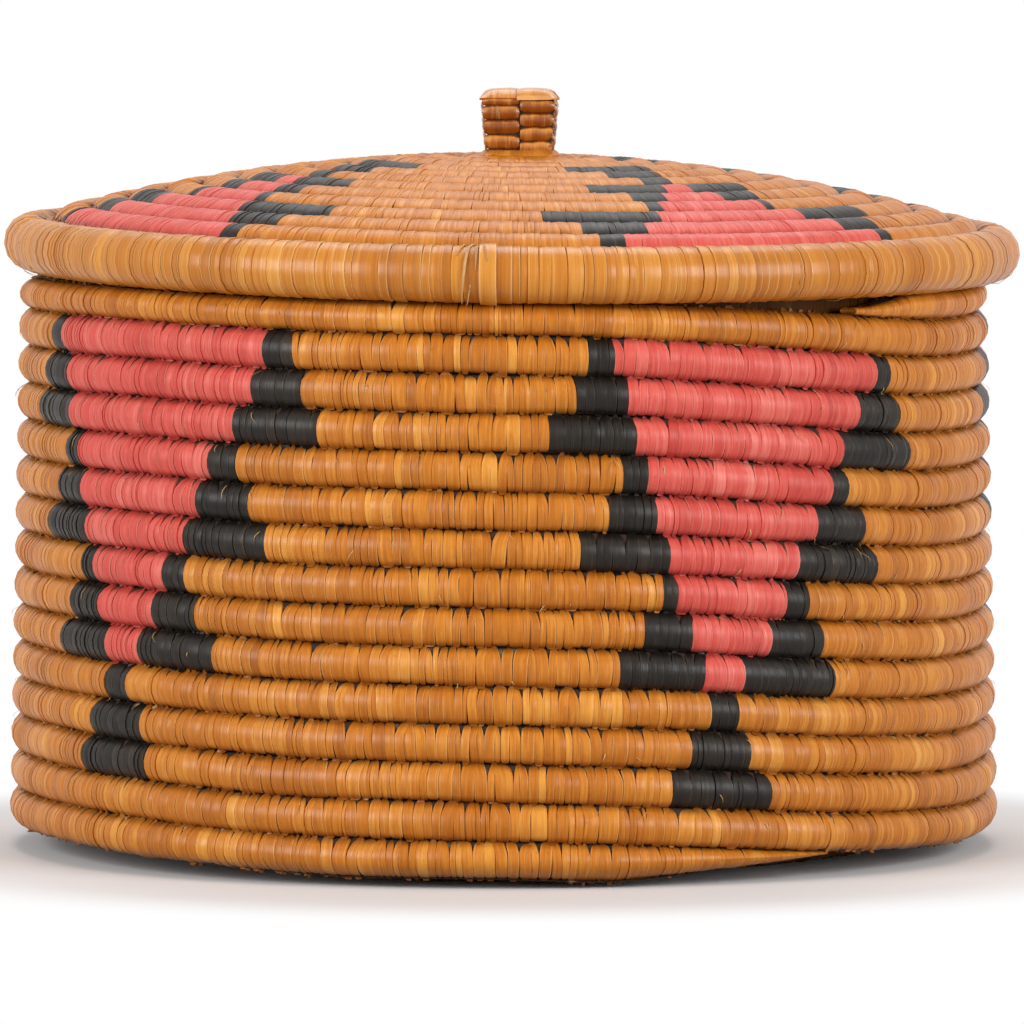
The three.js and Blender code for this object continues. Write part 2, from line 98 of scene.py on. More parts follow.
class Wiring:
    """Short ways to place and join the nodes of one tree."""

    def __init__(self, tree: bpy.types.NodeTree) -> None:
        """Keeps the tree."""
        self.tree = tree

    def node(self, kind: str, **settings: object) -> bpy.types.Node:
        """Places a new node.

        Args:
            kind: Its type.
            settings: Its properties by name.

        Returns:
            The node.
        """
        made = self.tree.nodes.new(kind)
        for name, value in settings.items():
            setattr(made, name, value)
        return made

    def join(self, source: bpy.types.NodeSocket, target: bpy.types.NodeSocket) -> None:
        """Links two sockets."""
        self.tree.links.new(source, target)

    def fill(self, socket: bpy.types.NodeSocket, value: object) -> None:
        """Gives a socket its input.

        Args:
            socket: The socket.
            value: A socket to link to it, or its value.
        """
        if isinstance(value, bpy.types.NodeSocket):
            self.join(value, socket)
        else:
            socket.default_value = value

    def math(self, operation: str, *values: object) -> bpy.types.NodeSocket:
        """Places a Math node.

        Args:
            operation: What it works out.
            values: Its inputs, each a socket or a number.

        Returns:
            Its output.
        """
        made = self.node("ShaderNodeMath", operation=operation)
        for socket, value in zip(made.inputs, values):
            self.fill(socket, value)
        return made.outputs[0]

    def span(self, value: object, low: float, high: float, to_low: float = 0.0,
             to_high: float = 1.0) -> bpy.types.NodeSocket:
        """Moves a value from one span to another, smoothly and within its ends.

        Args:
            value: The value.
            low: Where its own span begins.
            high: Where its own span ends.
            to_low: Where the new span begins.
            to_high: Where the new span ends.

        Returns:
            The new value.
        """
        made = self.node("ShaderNodeMapRange", interpolation_type="SMOOTHSTEP")
        for name, part in (("Value", value), ("From Min", low), ("From Max", high),
                           ("To Min", to_low), ("To Max", to_high)):
            self.fill(made.inputs[name], part)
        return made.outputs["Result"]

    def mix(self, share: object, a: object, b: object) -> bpy.types.NodeSocket:
        """Mixes two colours.

        Args:
            share: How much of the second colour there is.
            a: The first colour.
            b: The second colour.

        Returns:
            The mixed colour.
        """
        made = self.node("ShaderNodeMix", data_type="RGBA")
        for i, value in ((0, share), (6, a), (7, b)):
            self.fill(made.inputs[i], value)
        return made.outputs[2]

    def noise(self, vector: object, scale: float, detail: float = 3.0,
              roughness: float = 0.5) -> bpy.types.NodeSocket:
        """Places a Noise Texture.

        Args:
            vector: Where it is read.
            scale: How fine it is.
            detail: How many finer layers it has.
            roughness: How strong those layers are.

        Returns:
            Its value.
        """
        made = self.node("ShaderNodeTexNoise")
        for name, value in (("Vector", vector), ("Scale", scale), ("Detail", detail),
                            ("Roughness", roughness)):
            self.fill(made.inputs[name], value)
        return made.outputs["Fac"]


# The noises that mark a strip: how often each one repeats across and along it, then the noise's
# scale, detail and roughness.
MARKS = {
    "Grain": ((3.4, 0.16), (1.6, 4.0, 0.62)),
    "Fibre": ((13.0, 0.3), (1.0, 2.0, 0.6)),
    "Blotch": ((0.8, 0.45), (1.0, 3.0, 0.6)),
    "Fleck": ((2.2, 1.6), (1.0, 2.0, 0.5)),
}


def leaf_group() -> bpy.types.NodeTree:
    """The node group of a leaf strip, which reads the strip's own map and attributes.

    The map runs across the strip and along it, and the attribute "strip" holds the strip's tone,
    a second chance value and its place from one end (0) to the other (1).

    Returns:
        The group. Its outputs are the names in MARKS and Edge, End, Tone and Chance.
    """
    group = bpy.data.node_groups.new("leaf strip", "ShaderNodeTree")
    w = Wiring(group)
    own = w.node("ShaderNodeAttribute", attribute_name="strip")
    parts = w.node("ShaderNodeSeparateXYZ")
    w.join(own.outputs["Vector"], parts.inputs[0])
    tone, chance, along = parts.outputs
    place = w.node("ShaderNodeUVMap", uv_map="strip map")
    flat = w.node("ShaderNodeSeparateXYZ")
    w.join(place.outputs["UV"], flat.inputs[0])
    across, length = flat.outputs[0], flat.outputs[1]
    shift = w.math("MULTIPLY", chance, 53.0)
    made = {}
    for name, (often, look) in MARKS.items():
        read = w.node("ShaderNodeCombineXYZ")
        w.fill(read.inputs[0], w.math("MULTIPLY", across, often[0]))
        w.fill(read.inputs[1], w.math("MULTIPLY", length, often[1]))
        w.fill(read.inputs[2], shift)
        made[name] = w.noise(read.outputs[0], *look)
    made["Fleck"] = w.span(made["Fleck"], 0.68, 0.76)
    from_middle = w.math("ABSOLUTE", w.math("SUBTRACT", w.math("FRACT", across), 0.5))
    # Edge is the mask of a painted highlight along both edges of a strip.
    made["Edge"] = w.span(from_middle, 0.36, 0.47)
    # End is the mask of painted shade towards both ends of a strip, where it dives into a groove or
    # crease.
    made["End"] = w.span(w.math("ABSOLUTE", w.math("SUBTRACT", along, 0.5)), 0.3, 0.5)
    made["Tone"], made["Chance"] = tone, chance
    for name in made:
        group.interface.new_socket(name, in_out="OUTPUT", socket_type="NodeSocketFloat")
    ends = w.node("NodeGroupOutput")
    for name, value in made.items():
        w.join(value, ends.inputs[name])
    return group


@dataclass(frozen=True)
class LeafFinish:
    """A finish of leaf strips: three tones from dark to light, and what marks them. The marks'
    fields are shares, and a span is the values of its noise between which a mark comes up.
    The shade tint colours real flecks and the painted shade towards both ends of a strip, and
    the edge tint colours real fibre lines and the painted highlight along its edges."""

    name: str
    dark: tuple[float, float, float]
    middle: tuple[float, float, float]
    light: tuple[float, float, float]
    shade: tuple[float, float, float]
    edge: tuple[float, float, float]
    edge_highlight_share: float = 0.25
    roughness: float = 0.5
    specular: float = 0.35
    coat: float = 0.03
    coat_roughness: float = 0.3
    relief: float = 0.3
    relief_depth: float = 0.12 * MM
    relief_grain: float = 1.5
    grain: float = 1.15
    blotch: float = 0.5
    lines: float = 0.26
    line_span: tuple[float, float] = (0.58, 0.76)
    edge_highlight_span: tuple[float, float] = (0.35, 0.9)
    gloss_span: tuple[float, float] = (0.25, 0.75)
    duller: float = 0.12
    glossier: float = 0.08
    fleck: float = 0.25
    variety: float = 1.0
    # Share of painted shade towards both ends of a strip.
    ends: float = 0.6

    def material(self, leaf: bpy.types.NodeTree) -> bpy.types.Material:
        """Builds the material.

        Args:
            leaf: The leaf strip group.

        Returns:
            The finished material.
        """
        made = bpy.data.materials.new(self.name)
        made.use_nodes = True
        made.diffuse_color = (*self.middle, 1)
        w = Wiring(made.node_tree)
        shader = made.node_tree.nodes["Principled BSDF"]
        strip = w.node("ShaderNodeGroup", node_tree=leaf)
        out = strip.outputs
        tones = w.node("ShaderNodeValToRGB")
        ramp = tones.color_ramp
        ramp.elements[0].position, ramp.elements[0].color = 0.05, (*self.dark, 1)
        ramp.elements[1].position, ramp.elements[1].color = 0.95, (*self.light, 1)
        ramp.elements.new(0.5).color = (*self.middle, 1)
        level = 0.5
        for name, share in (("Tone", self.variety), ("Grain", self.grain), ("Blotch", self.blotch)):
            part = w.math("MULTIPLY", w.math("SUBTRACT", out[name], 0.5), share)
            level = w.math("ADD", part, level)
        w.join(level, tones.inputs[0])
        # Strips with a high chance value get a painted highlight along their edges.
        edge_highlight = w.span(out["Chance"], *self.edge_highlight_span, 0.0, self.edge_highlight_share)
        colour = tones.outputs[0]
        # Marks over the tones: fibre lines, the edge highlight, real flecks, and painted shade towards
        # both ends of the strip.
        for mark, share, tint in (
            (w.span(out["Fibre"], *self.line_span), self.lines, self.edge),
            (out["Edge"], edge_highlight, self.edge),
            (out["Fleck"], self.fleck, self.shade),
            (out["End"], self.ends, self.shade),
        ):
            colour = w.mix(w.math("MULTIPLY", mark, share), colour, (*tint, 1))
        w.join(colour, shader.inputs["Base Color"])
        dull, glossy = self.roughness + self.duller, self.roughness - self.glossier
        w.join(w.span(out["Grain"], *self.gloss_span, dull, glossy), shader.inputs["Roughness"])
        for name, value in (("Coat Weight", self.coat), ("Coat Roughness", self.coat_roughness),
                            ("Specular IOR Level", self.specular)):
            w.fill(shader.inputs[name], value)
        bump = w.node("ShaderNodeBump")
        w.fill(bump.inputs["Strength"], self.relief)
        w.fill(bump.inputs["Distance"], self.relief_depth)
        w.join(w.math("ADD", out["Fibre"], w.math("MULTIPLY", out["Grain"], self.relief_grain)),
               bump.inputs["Height"])
        w.join(bump.outputs[0], shader.inputs["Normal"])
        return made


@dataclass(frozen=True)
class StemFinish:
    """The bundle of stems in the gaps between strips: near-black as painted shade for the deep gaps,
    with pale stems near the foot.
    """

    name: str
    dark: tuple[float, float, float] = (0.035, 0.014, 0.005)
    pale: tuple[float, float, float] = (0.5, 0.36, 0.19)
    pale_from: float = 0.6
    pale_rise: float = 0.08
    pale_below: float = 75 * MM
    pale_full: float = 45 * MM
    patch_scale: float = 90.0
    stem_scale: float = 900.0
    relief_depth: float = 0.3 * MM

    def material(self) -> bpy.types.Material:
        """Builds the material.

        Returns:
            The finished material.
        """
        made = bpy.data.materials.new(self.name)
        made.use_nodes = True
        w = Wiring(made.node_tree)
        shader = made.node_tree.nodes["Principled BSDF"]
        spots = w.node("ShaderNodeTexCoord")
        place = w.node("ShaderNodeSeparateXYZ")
        w.join(spots.outputs["Object"], place.inputs[0])
        patches = w.noise(spots.outputs["Object"], self.patch_scale, 2.0)
        low = w.span(place.outputs[2], self.pale_below, self.pale_full)
        some = w.span(patches, self.pale_from, self.pale_from + self.pale_rise)
        share = w.math("MULTIPLY", some, low)
        w.join(w.mix(share, (*self.dark, 1), (*self.pale, 1)), shader.inputs["Base Color"])
        w.join(w.span(patches, 0.3, 0.7, 0.9, 0.75), shader.inputs["Roughness"])
        bump = w.node("ShaderNodeBump")
        w.fill(bump.inputs["Distance"], self.relief_depth)
        w.join(w.noise(spots.outputs["Object"], self.stem_scale, 2.0), bump.inputs["Height"])
        w.join(bump.outputs[0], shader.inputs["Normal"])
        return made


GOLD = LeafFinish(
    "golden strips", dark=(0.34, 0.092, 0.005), middle=(0.54, 0.168, 0.01), light=(0.76, 0.33, 0.05),
    shade=(0.12, 0.03, 0.003), edge=(0.9, 0.56, 0.21), roughness=0.37, specular=0.34,
    edge_highlight_share=0.35, coat=0.0)
RIM_GOLD = LeafFinish(
    "rim strips", dark=(0.34, 0.098, 0.006), middle=(0.54, 0.178, 0.012), light=(0.75, 0.34, 0.06),
    shade=(0.14, 0.036, 0.004), edge=(0.9, 0.6, 0.25), edge_highlight_share=0.42, roughness=0.32,
    specular=0.36, coat=0.04)
CORAL_RED = LeafFinish(
    "coral strips", dark=(0.46, 0.042, 0.032), middle=(0.66, 0.088, 0.066),
    light=(0.8, 0.2, 0.16), shade=(0.2, 0.014, 0.01), edge=(0.86, 0.42, 0.3), edge_highlight_share=0.4,
    roughness=0.42, specular=0.3, coat=0.0, fleck=0.22, variety=0.8)
BLACK_DYE = LeafFinish(
    "black strips", dark=(0.006, 0.0048, 0.0036), middle=(0.012, 0.0085, 0.006),
    light=(0.034, 0.024, 0.016), shade=(0.006, 0.004, 0.003), edge=(0.15, 0.105, 0.065),
    edge_highlight_share=0.3, roughness=0.38, specular=0.24, coat=0.0, fleck=0.0, variety=0.9)
# Its ends share darkens the folds' creases as painted shade.
GLOSSY_LEAF = LeafFinish(
    "knob leaf", dark=(0.16, 0.034, 0.002), middle=(0.27, 0.068, 0.004), light=(0.64, 0.25, 0.04),
    shade=(0.06, 0.014, 0.002), edge=(0.9, 0.6, 0.28), edge_highlight_share=0.4, roughness=0.24,
    specular=0.4, coat=0.3, fleck=0.12, ends=0.75)
# Dark strips of painted shade: the locating ring seen through the gap under the rim, and the base's
# underside in the contact shadow.
SHADE_PAINTED_GOLD = LeafFinish(
    "aged strips", dark=(0.08, 0.028, 0.005), middle=(0.14, 0.05, 0.01), light=(0.22, 0.09, 0.025),
    shade=(0.03, 0.01, 0.002), edge=(0.2, 0.1, 0.04), specular=0.1)
FIBRE = LeafFinish(
    "loose fibres", dark=(0.3, 0.13, 0.035), middle=(0.5, 0.26, 0.09), light=(0.66, 0.4, 0.17),
    shade=(0.2, 0.07, 0.015), edge=(0.7, 0.45, 0.2), fleck=0.0, ends=0.0)
STEMS = StemFinish("bundle of stems")


@dataclass
class Finishes:
    """The materials, built once."""

    def __post_init__(self) -> None:
        """Builds every material."""
        leaf = leaf_group()
        self.plain = GOLD.material(leaf)
        self.rim = RIM_GOLD.material(leaf)
        self.coral = CORAL_RED.material(leaf)
        self.black = BLACK_DYE.material(leaf)
        self.knob = GLOSSY_LEAF.material(leaf)
        # The dark finish of painted shade.
        self.aged = SHADE_PAINTED_GOLD.material(leaf)
        self.fibre = FIBRE.material(leaf)
        self.stems = STEMS.material()

    def of(self, dye: Dye) -> bpy.types.Material:
        """The finish of a wall or lid strip."""
        return {Dye.PLAIN: self.plain, Dye.CORAL: self.coral, Dye.BLACK: self.black}[dye]


SLOTS = {Dye.PLAIN: "natural_strips", Dye.CORAL: "coral_strips", Dye.BLACK: "black_strips"}


# Meshes


@dataclass
class Shape:
    """Points, four-cornered faces, and what the finish reads at each point."""

    points: Grid
    faces: Grid
    map: Grid | None = None
    strip: Grid | None = None

    def __post_init__(self) -> None:
        """Turns grids into one row for each point and each face."""
        self.points, self.faces = self.points.reshape(-1, 3), self.faces.reshape(-1, 4)
        if self.map is not None:
            self.map, self.strip = self.map.reshape(-1, 2), self.strip.reshape(-1, 3)

    def outward(self) -> "Shape":
        """Turns the faces outwards. The sum of a . (b x c) / 6 over the triangles of closed shapes
        is their volume, and it is below 0 where they face inwards.

        Returns:
            The shape, or a turned one.
        """
        a, b, c, d = (self.points[self.faces[:, i]] for i in range(4))
        volume = np.sum(a * (np.cross(b, c) + np.cross(c, d)))
        return replace(self, faces=self.faces[:, ::-1]) if volume < 0 else self

    @staticmethod
    def joined(shapes: list["Shape"]) -> "Shape":
        """Joins several shapes.

        Args:
            shapes: The shapes, which all have a map.

        Returns:
            One shape, in which the faces of each are turned outwards.
        """
        shapes = [s.outward() for s in shapes]
        counts = np.cumsum([0] + [len(s.points) for s in shapes])
        faces = [s.faces + start for s, start in zip(shapes, counts)]
        return Shape(
            np.concatenate([s.points for s in shapes]),
            np.concatenate(faces),
            np.concatenate([s.map for s in shapes]),
            np.concatenate([s.strip for s in shapes]),
        )

    def piece(self, name: str, material: bpy.types.Material, body: Body, slot: str,
              nodes: tuple[str, ...] = ()) -> bpy.types.Object:
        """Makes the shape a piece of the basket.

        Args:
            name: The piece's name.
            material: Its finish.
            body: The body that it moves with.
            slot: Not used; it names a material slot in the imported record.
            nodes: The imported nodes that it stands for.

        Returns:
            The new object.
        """
        mesh = bpy.data.meshes.new(name)
        mesh.vertices.add(len(self.points))
        mesh.vertices.foreach_set("co", self.points.astype(np.float32).ravel())
        corners = self.outward().faces.astype(np.int32).ravel()
        mesh.loops.add(len(corners))
        mesh.loops.foreach_set("vertex_index", corners)
        mesh.polygons.add(len(self.faces))
        mesh.polygons.foreach_set("loop_start", np.arange(0, len(corners), 4, dtype=np.int32))
        mesh.polygons.foreach_set("use_smooth", np.ones(len(self.faces), bool))
        if self.map is not None:
            layer = mesh.uv_layers.new(name="strip map")
            layer.data.foreach_set("uv", self.map[corners].astype(np.float32).ravel())
            own = mesh.attributes.new("strip", "FLOAT_VECTOR", "POINT")
            own.data.foreach_set("vector", self.strip.astype(np.float32).ravel())
        mesh.update()
        mesh.validate()
        mesh.set_sharp_from_angle(angle=np.radians(48))
        mesh.materials.append(material)
        made = bpy.data.objects.new(name, mesh)
        bpy.context.scene.collection.objects.link(made)
        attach(made, body.value)
        if nodes:
            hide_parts(*nodes)
        log.info("%s: %d faces", name, len(self.faces))
        return made


def tube_faces(rows: int, round_count: int, closed_ends: bool = True) -> Grid:
    """Faces of a tube whose rows are closed loops, all turned the same way.

    Args:
        rows: Number of loops.
        round_count: Points in each loop, an even number where the ends are closed.
        closed_ends: Whether both ends are filled.

    Returns:
        Corner indices, four to a face.
    """
    i, j = np.meshgrid(np.arange(rows - 1), np.arange(round_count), indexing="ij")
    after = (j + 1) % round_count
    walls = np.stack(
        [i * round_count + j, (i + 1) * round_count + j,
         (i + 1) * round_count + after, i * round_count + after], -1).reshape(-1, 4)
    if not closed_ends:
        return walls
    k = np.arange(round_count // 2 - 1)
    cap = np.stack([k, k + 1, round_count - 2 - k, round_count - 1 - k], -1)
    return np.concatenate([walls, cap, cap[:, ::-1] + (rows - 1) * round_count])


@dataclass(frozen=True)
class Lay:
    """How a strip lies on its coil, from its peak to its lobe.

    height is the place on the coil's section in half heights of the course, where 1 is the groove
    before it and -1 the groove after it. width is the share of its full width, and lift its
    distance above the coil in millimetres, to which crown adds by the place across. The peak's
    lean begins at lean_from and is full lean_rise above it. tilt raises one edge of each strip
    over its neighbour, in millimetres, and the other edge where its chance value is below
    tilted_back. uneven is the share of its ragged upper end.
    """

    height: tuple[float, ...]
    width: tuple[float, ...]
    lift: tuple[float, ...]
    across: tuple[float, ...] = (-1.0, -0.95, -0.5, 0.5, 0.95, 1.0)
    crown: tuple[float, ...] = (-0.4, 0.1, 0.16, 0.16, 0.1, -0.4)
    uneven: float = 1.0
    lean_from: float = 0.3
    lean_rise: float = 0.9
    tilt: float = 0.12
    tilted_back: float = 0.3


SHOWN = Lay(
    height=(1.16, 1.04, 0.92, 0.78, 0.45, 0.08, -0.3, -0.62, -0.82, -0.93, -1.0),
    width=(0.1, 0.5, 0.88, 1.0, 1.0, 1.0, 1.0, 1.0, 0.98, 0.84, 0.5),
    lift=(-0.6, -0.2, 0.0, 0.1, 0.14, 0.14, 0.16, 0.24, 0.42, 0.6, 0.5),
)
DOME = Lay(
    height=(1.1, 1.0, 0.88, 0.68, 0.36, 0.03, -0.32, -0.64, -0.84, -0.95, -1.03),
    width=(0.6, 0.95, 1.04, 1.04, 1.04, 1.04, 1.04, 1.04, 1.0, 0.84, 0.42),
    lift=(-0.2, 0.0, 0.1, 0.14, 0.14, 0.14, 0.16, 0.2, 0.3, 0.42, 0.3),
)
FREE = Lay(
    height=(1.06, 1.0, 0.9, 0.75, 0.45, 0.08, -0.3, -0.62, -0.82, -0.93, -1.0),
    width=(1.0, 1.0, 1.0, 1.0, 1.0, 1.0, 1.0, 1.0, 0.98, 0.84, 0.5),
    lift=(0.3, 0.3, 0.25, 0.2, 0.14, 0.14, 0.16, 0.24, 0.42, 0.6, 0.5),
    uneven=0.0,
)
HIDDEN = Lay(
    height=(1.08, 0.8, 0.3, -0.3, -0.8, -1.08),
    width=(0.35, 0.95, 1.0, 1.0, 0.95, 0.5),
    lift=(-0.1, 0.1, 0.15, 0.15, 0.2, 0.05),
    across=(-1.0, -0.88, 0.88, 1.0),
    crown=(-0.45, 0.16, 0.16, -0.45),
)


def hollow(height: Grid) -> Grid:
    """Share of the groove's depth at a place on a coil's section. The coil is round, so with h the
    distance from its middle the share is 1 - sqrt(1 - (0.94 h)^2), made to reach 1 at the groove.
    It falls again beyond the groove, on the next course.

    Args:
        height: Place on the section, in half heights of the course.

    Returns:
        The share, from 0 to 1.
    """
    bent = 0.94
    away = np.abs(height)
    share = np.where(away > 1, 2 - away, away)
    return (1 - np.sqrt(1 - (bent * share) ** 2)) / (1 - np.sqrt(1 - bent ** 2))


def spun(radius: Grid, turn: Grid, level: Grid, shift: float = 0.0) -> Grid:
    """Points at a radius, an azimuth in radians and a height, moved to the right by a shift."""
    return np.stack([radius * np.sin(turn) + shift, -radius * np.cos(turn), level], -1)


class Coil:
    """A coil whose strips can be laid out. Places along it are degrees."""

    def surface(self, along: Grid, height: Grid, lift: Grid, face: int) -> Grid:
        """Points on the coil.

        Args:
            along: Degrees along the coil.
            height: Place on the section, in half heights of the course.
            lift: Metres above the surface.
            face: 1 for the shown face of the coil and -1 for its back.

        Returns:
            The points, with one axis more.
        """
        raise NotImplementedError

    def radius(self, along: Grid) -> Grid:
        """Distance from the middle of the basket, in metres."""
        raise NotImplementedError


@dataclass(frozen=True)
class Variety:
    """How much the strips of a coil differ. Widths, peaks and leans are shares of a width, the
    places of a wander are degrees, and ragged ends are in half heights of the course."""

    wander: float = 0.36
    wander_place: float = 11.0
    fine_wander: float = 0.2
    fine_wander_place: float = 2.6
    narrowest: float = 0.42
    widest: float = 1.6
    jitter: float = 0.26
    overlap: tuple[float, float] = (0.96, 1.06)
    peak: float = 0.5
    first_peak: float = 0.3
    lean: float = 0.09
    raised: float = 0.2 * MM
    tone: float = 0.47
    tone_wander: float = 0.1
    tone_wander_place: float = 23.0
    tone_spread: float = 0.09
    paler: float = 0.3
    paler_strips: float = 0.04
    ragged: float = 0.06
    most_ragged: float = 0.13


VARIETY = Variety()


@dataclass
class Strips:
    """Strips laid side by side along a coil. Each field has one value per strip, in degrees along
    the coil unless it says otherwise."""

    place: Grid
    width: Grid
    peak: Grid
    lean: Grid
    raised: Grid
    tone: Grid
    chance: Grid
    ragged: Grid

    @staticmethod
    def along(coil: Coil, start: float, end: float, mean: float, seed: int,
              tones: float = 1.0) -> "Strips":
        """Fills a stretch of coil with strips of wandering width. Each strip's peak leans towards
        the gap between two lobes of the course before it.

        Args:
            coil: The coil.
            start: Where the strips begin.
            end: Where they end.
            mean: Mean width of a strip, in metres.
            seed: Picks the widths.
            tones: How much the tones differ, where 1 is as on the wall.

        Returns:
            The strips.
        """
        v = VARIETY
        chance = np.random.default_rng(seed)
        step = 0.25
        trial = np.arange(start, end, step)
        wander = (v.wander * ripple(trial / v.wander_place, seed)
                  + v.fine_wander * ripple(trial / v.fine_wander_place, seed + 1))
        wander = np.clip(1 + wander, v.narrowest, v.widest)
        degree = np.degrees(mean / coil.radius(trial))
        count = np.concatenate([[0], np.cumsum(step / (degree * wander))[:-1]])
        total = int(count[-1])
        count *= total / count[-1]
        jitter = chance.uniform(-v.jitter, v.jitter, total + 1)
        jitter[[0, -1]] = 0
        edges = np.interp(np.arange(total + 1) + jitter, count, trial)
        place = (edges[1:] + edges[:-1]) / 2
        width = edges[1:] - edges[:-1]
        # The target of each peak is the nearest gap in the course before, one turn back.
        turn = 360.0
        above = place - turn
        near = np.clip(np.searchsorted(edges, above), 1, total)
        low, high = edges[near - 1], edges[near]
        target = np.where(above - low < high - above, low, high) + turn
        reach = width * v.peak
        peak = np.clip(target - place, -reach, reach)
        free = chance.uniform(-v.first_peak, v.first_peak, total) * width
        peak = np.where(above < edges[0], free, peak)
        group = v.tone_wander * ripple(place / v.tone_wander_place, seed + 5)
        pale = v.paler * (chance.uniform(0, 1, total) > 1 - v.paler_strips)
        tone = v.tone + tones * (group + chance.normal(0, v.tone_spread, total) + pale)
        return Strips(
            place=place,
            width=width * chance.uniform(*v.overlap, total),
            peak=peak,
            lean=chance.normal(0, v.lean, total) * width,
            raised=chance.uniform(0, 1, total) * v.raised,
            tone=np.clip(tone, 0, 1),
            chance=chance.uniform(0, 1, total),
            ragged=np.clip(chance.normal(0, v.ragged, (total, 2)), -v.most_ragged, v.most_ragged),
        )

    def pick(self, mask: Grid) -> "Strips":
        """The strips where the mask is true."""
        return Strips(**{name: value[mask] for name, value in vars(self).items()})

    def shape(self, coil: Coil, lay: Lay, face: int = 1) -> Shape:
        """Lays the strips on a coil: each is a closed band, whose rows follow the lay from peak to
        lobe and whose columns cross it.

        Args:
            coil: The coil.
            lay: How each strip lies.
            face: 1 for the shown face and -1 for the back.

        Returns:
            The strips as one shape.
        """
        height = np.array(lay.height)
        across = np.array(lay.across)
        row, column = np.meshgrid(np.arange(len(height)), np.arange(len(across)), indexing="ij")
        share = (1 - height) / 2
        peak = self.peak[:, None] * ease((height - lay.lean_from) / lay.lean_rise)
        middle = self.place[:, None] + peak + self.lean[:, None] * (0.5 - share)
        half = self.width[:, None] / 2 * np.array(lay.width)
        along = middle[:, row] + half[:, row] * across[column]
        full = np.array(lay.crown)[column] + np.array(lay.lift)[row]
        side = np.sign(self.chance[:, None, None] - lay.tilted_back)
        inner = np.abs(across[column]) < 1
        lift = (full + lay.tilt * side * across[column]) * MM + self.raised[:, None, None] * inner
        end = np.where(height > 0, self.ragged[:, :1] * lay.uneven, self.ragged[:, 1:]) * height ** 4
        points = coil.surface(along, height[row] + end[:, row], lift, face)
        faces = tube_faces(len(height), len(across))
        count = len(height) * len(across)
        faces = faces[None] + np.arange(len(self.place))[:, None, None] * count
        # Strips of another chance value read the finish's noises in another place.
        map_length, map_spread = 3.0, 40.0
        mapped = np.stack(np.broadcast_arrays(
            (across[column] + 1) / 2,
            share[row] * map_length + self.chance[:, None, None] * map_spread), -1)
        own = np.stack(np.broadcast_arrays(
            self.tone[:, None, None], self.chance[:, None, None], share[row]), -1)
        return Shape(points, faces, mapped, own)


@dataclass(frozen=True)
class Motif:
    """A stepped motif that stands several times round a coil. Angles are in degrees. first_turn is
    the turn of its widest row, and way is 1 where its next row is in the next turn and -1 where it
    is in the one before."""

    centres: tuple[float, ...]
    leans: tuple[float, ...]
    first_turn: int
    way: int
    field_rows: int
    field_half: float
    field_step: float
    borders: tuple[float, ...]
    feet: tuple[float, ...]
    skew: float = 0.0

    def dyes(self, place: Grid) -> Grid:
        """The dye of each strip.

        Args:
            place: Where each strip is along the coil.

        Returns:
            The values of Dye.
        """
        found = np.full(place.shape, Dye.PLAIN.value)
        rows = self.field_rows + len(self.feet)
        feet = np.array(self.feet)
        for centre, lean in zip(self.centres, self.leans):
            turn = np.round((place - centre) / 360).astype(int)
            step = self.way * (turn - self.first_turn)
            inside = (step >= 0) & (step < rows)
            safe = np.clip(step, 0, rows - 1)
            in_field = safe < self.field_rows
            half = np.where(in_field, self.field_half - self.field_step * safe,
                            feet[np.clip(safe - self.field_rows, 0, len(feet) - 1)])
            border = np.where(in_field, np.array(self.borders)[safe % len(self.borders)], 0)
            middle = centre + 360 * turn + lean * safe
            away = np.abs(place - middle)
            wide = np.abs(place - middle - self.skew * border)
            found = np.where(inside & (wide < half + border), Dye.BLACK.value, found)
            found = np.where(inside & in_field & (away < half), Dye.CORAL.value, found)
        return found


@dataclass
class DyedPiece:
    """Strips of one dye that make one piece."""

    name: str
    dye: Dye
    strips: Strips
    nodes: tuple[str, ...]


def dyed_pieces(strips: Strips, motif: Motif, label: str, parts: int) -> list[DyedPiece]:
    """Sorts strips by their dye and cuts the plain ones into several parts.

    Args:
        strips: The strips of a coil.
        motif: The motif on it.
        label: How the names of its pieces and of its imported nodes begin.
        parts: Number of parts of the plain strips.

    Returns:
        The pieces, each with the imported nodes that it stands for.
    """
    dyes = motif.dyes(strips.place)
    nodes = sorted(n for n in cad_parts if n.startswith(f"{label}_motif"))
    found = []
    for dye in Dye:
        name = f"{label}_{dye.name.lower()}_strips"
        own = strips.pick(dyes == dye.value)
        if dye is Dye.PLAIN:
            for i, chunk in enumerate(np.array_split(np.arange(len(own.place)), parts)):
                found.append(DyedPiece(f"{name}_{i + 1}", dye, own.pick(chunk), ()))
        else:
            stands_for = tuple(n for n in nodes if n.endswith("field") == (dye is Dye.CORAL))
            found.append(DyedPiece(name, dye, own, stands_for))
    return found


# Wall

FOOT_SHIFT = -2.4 * MM


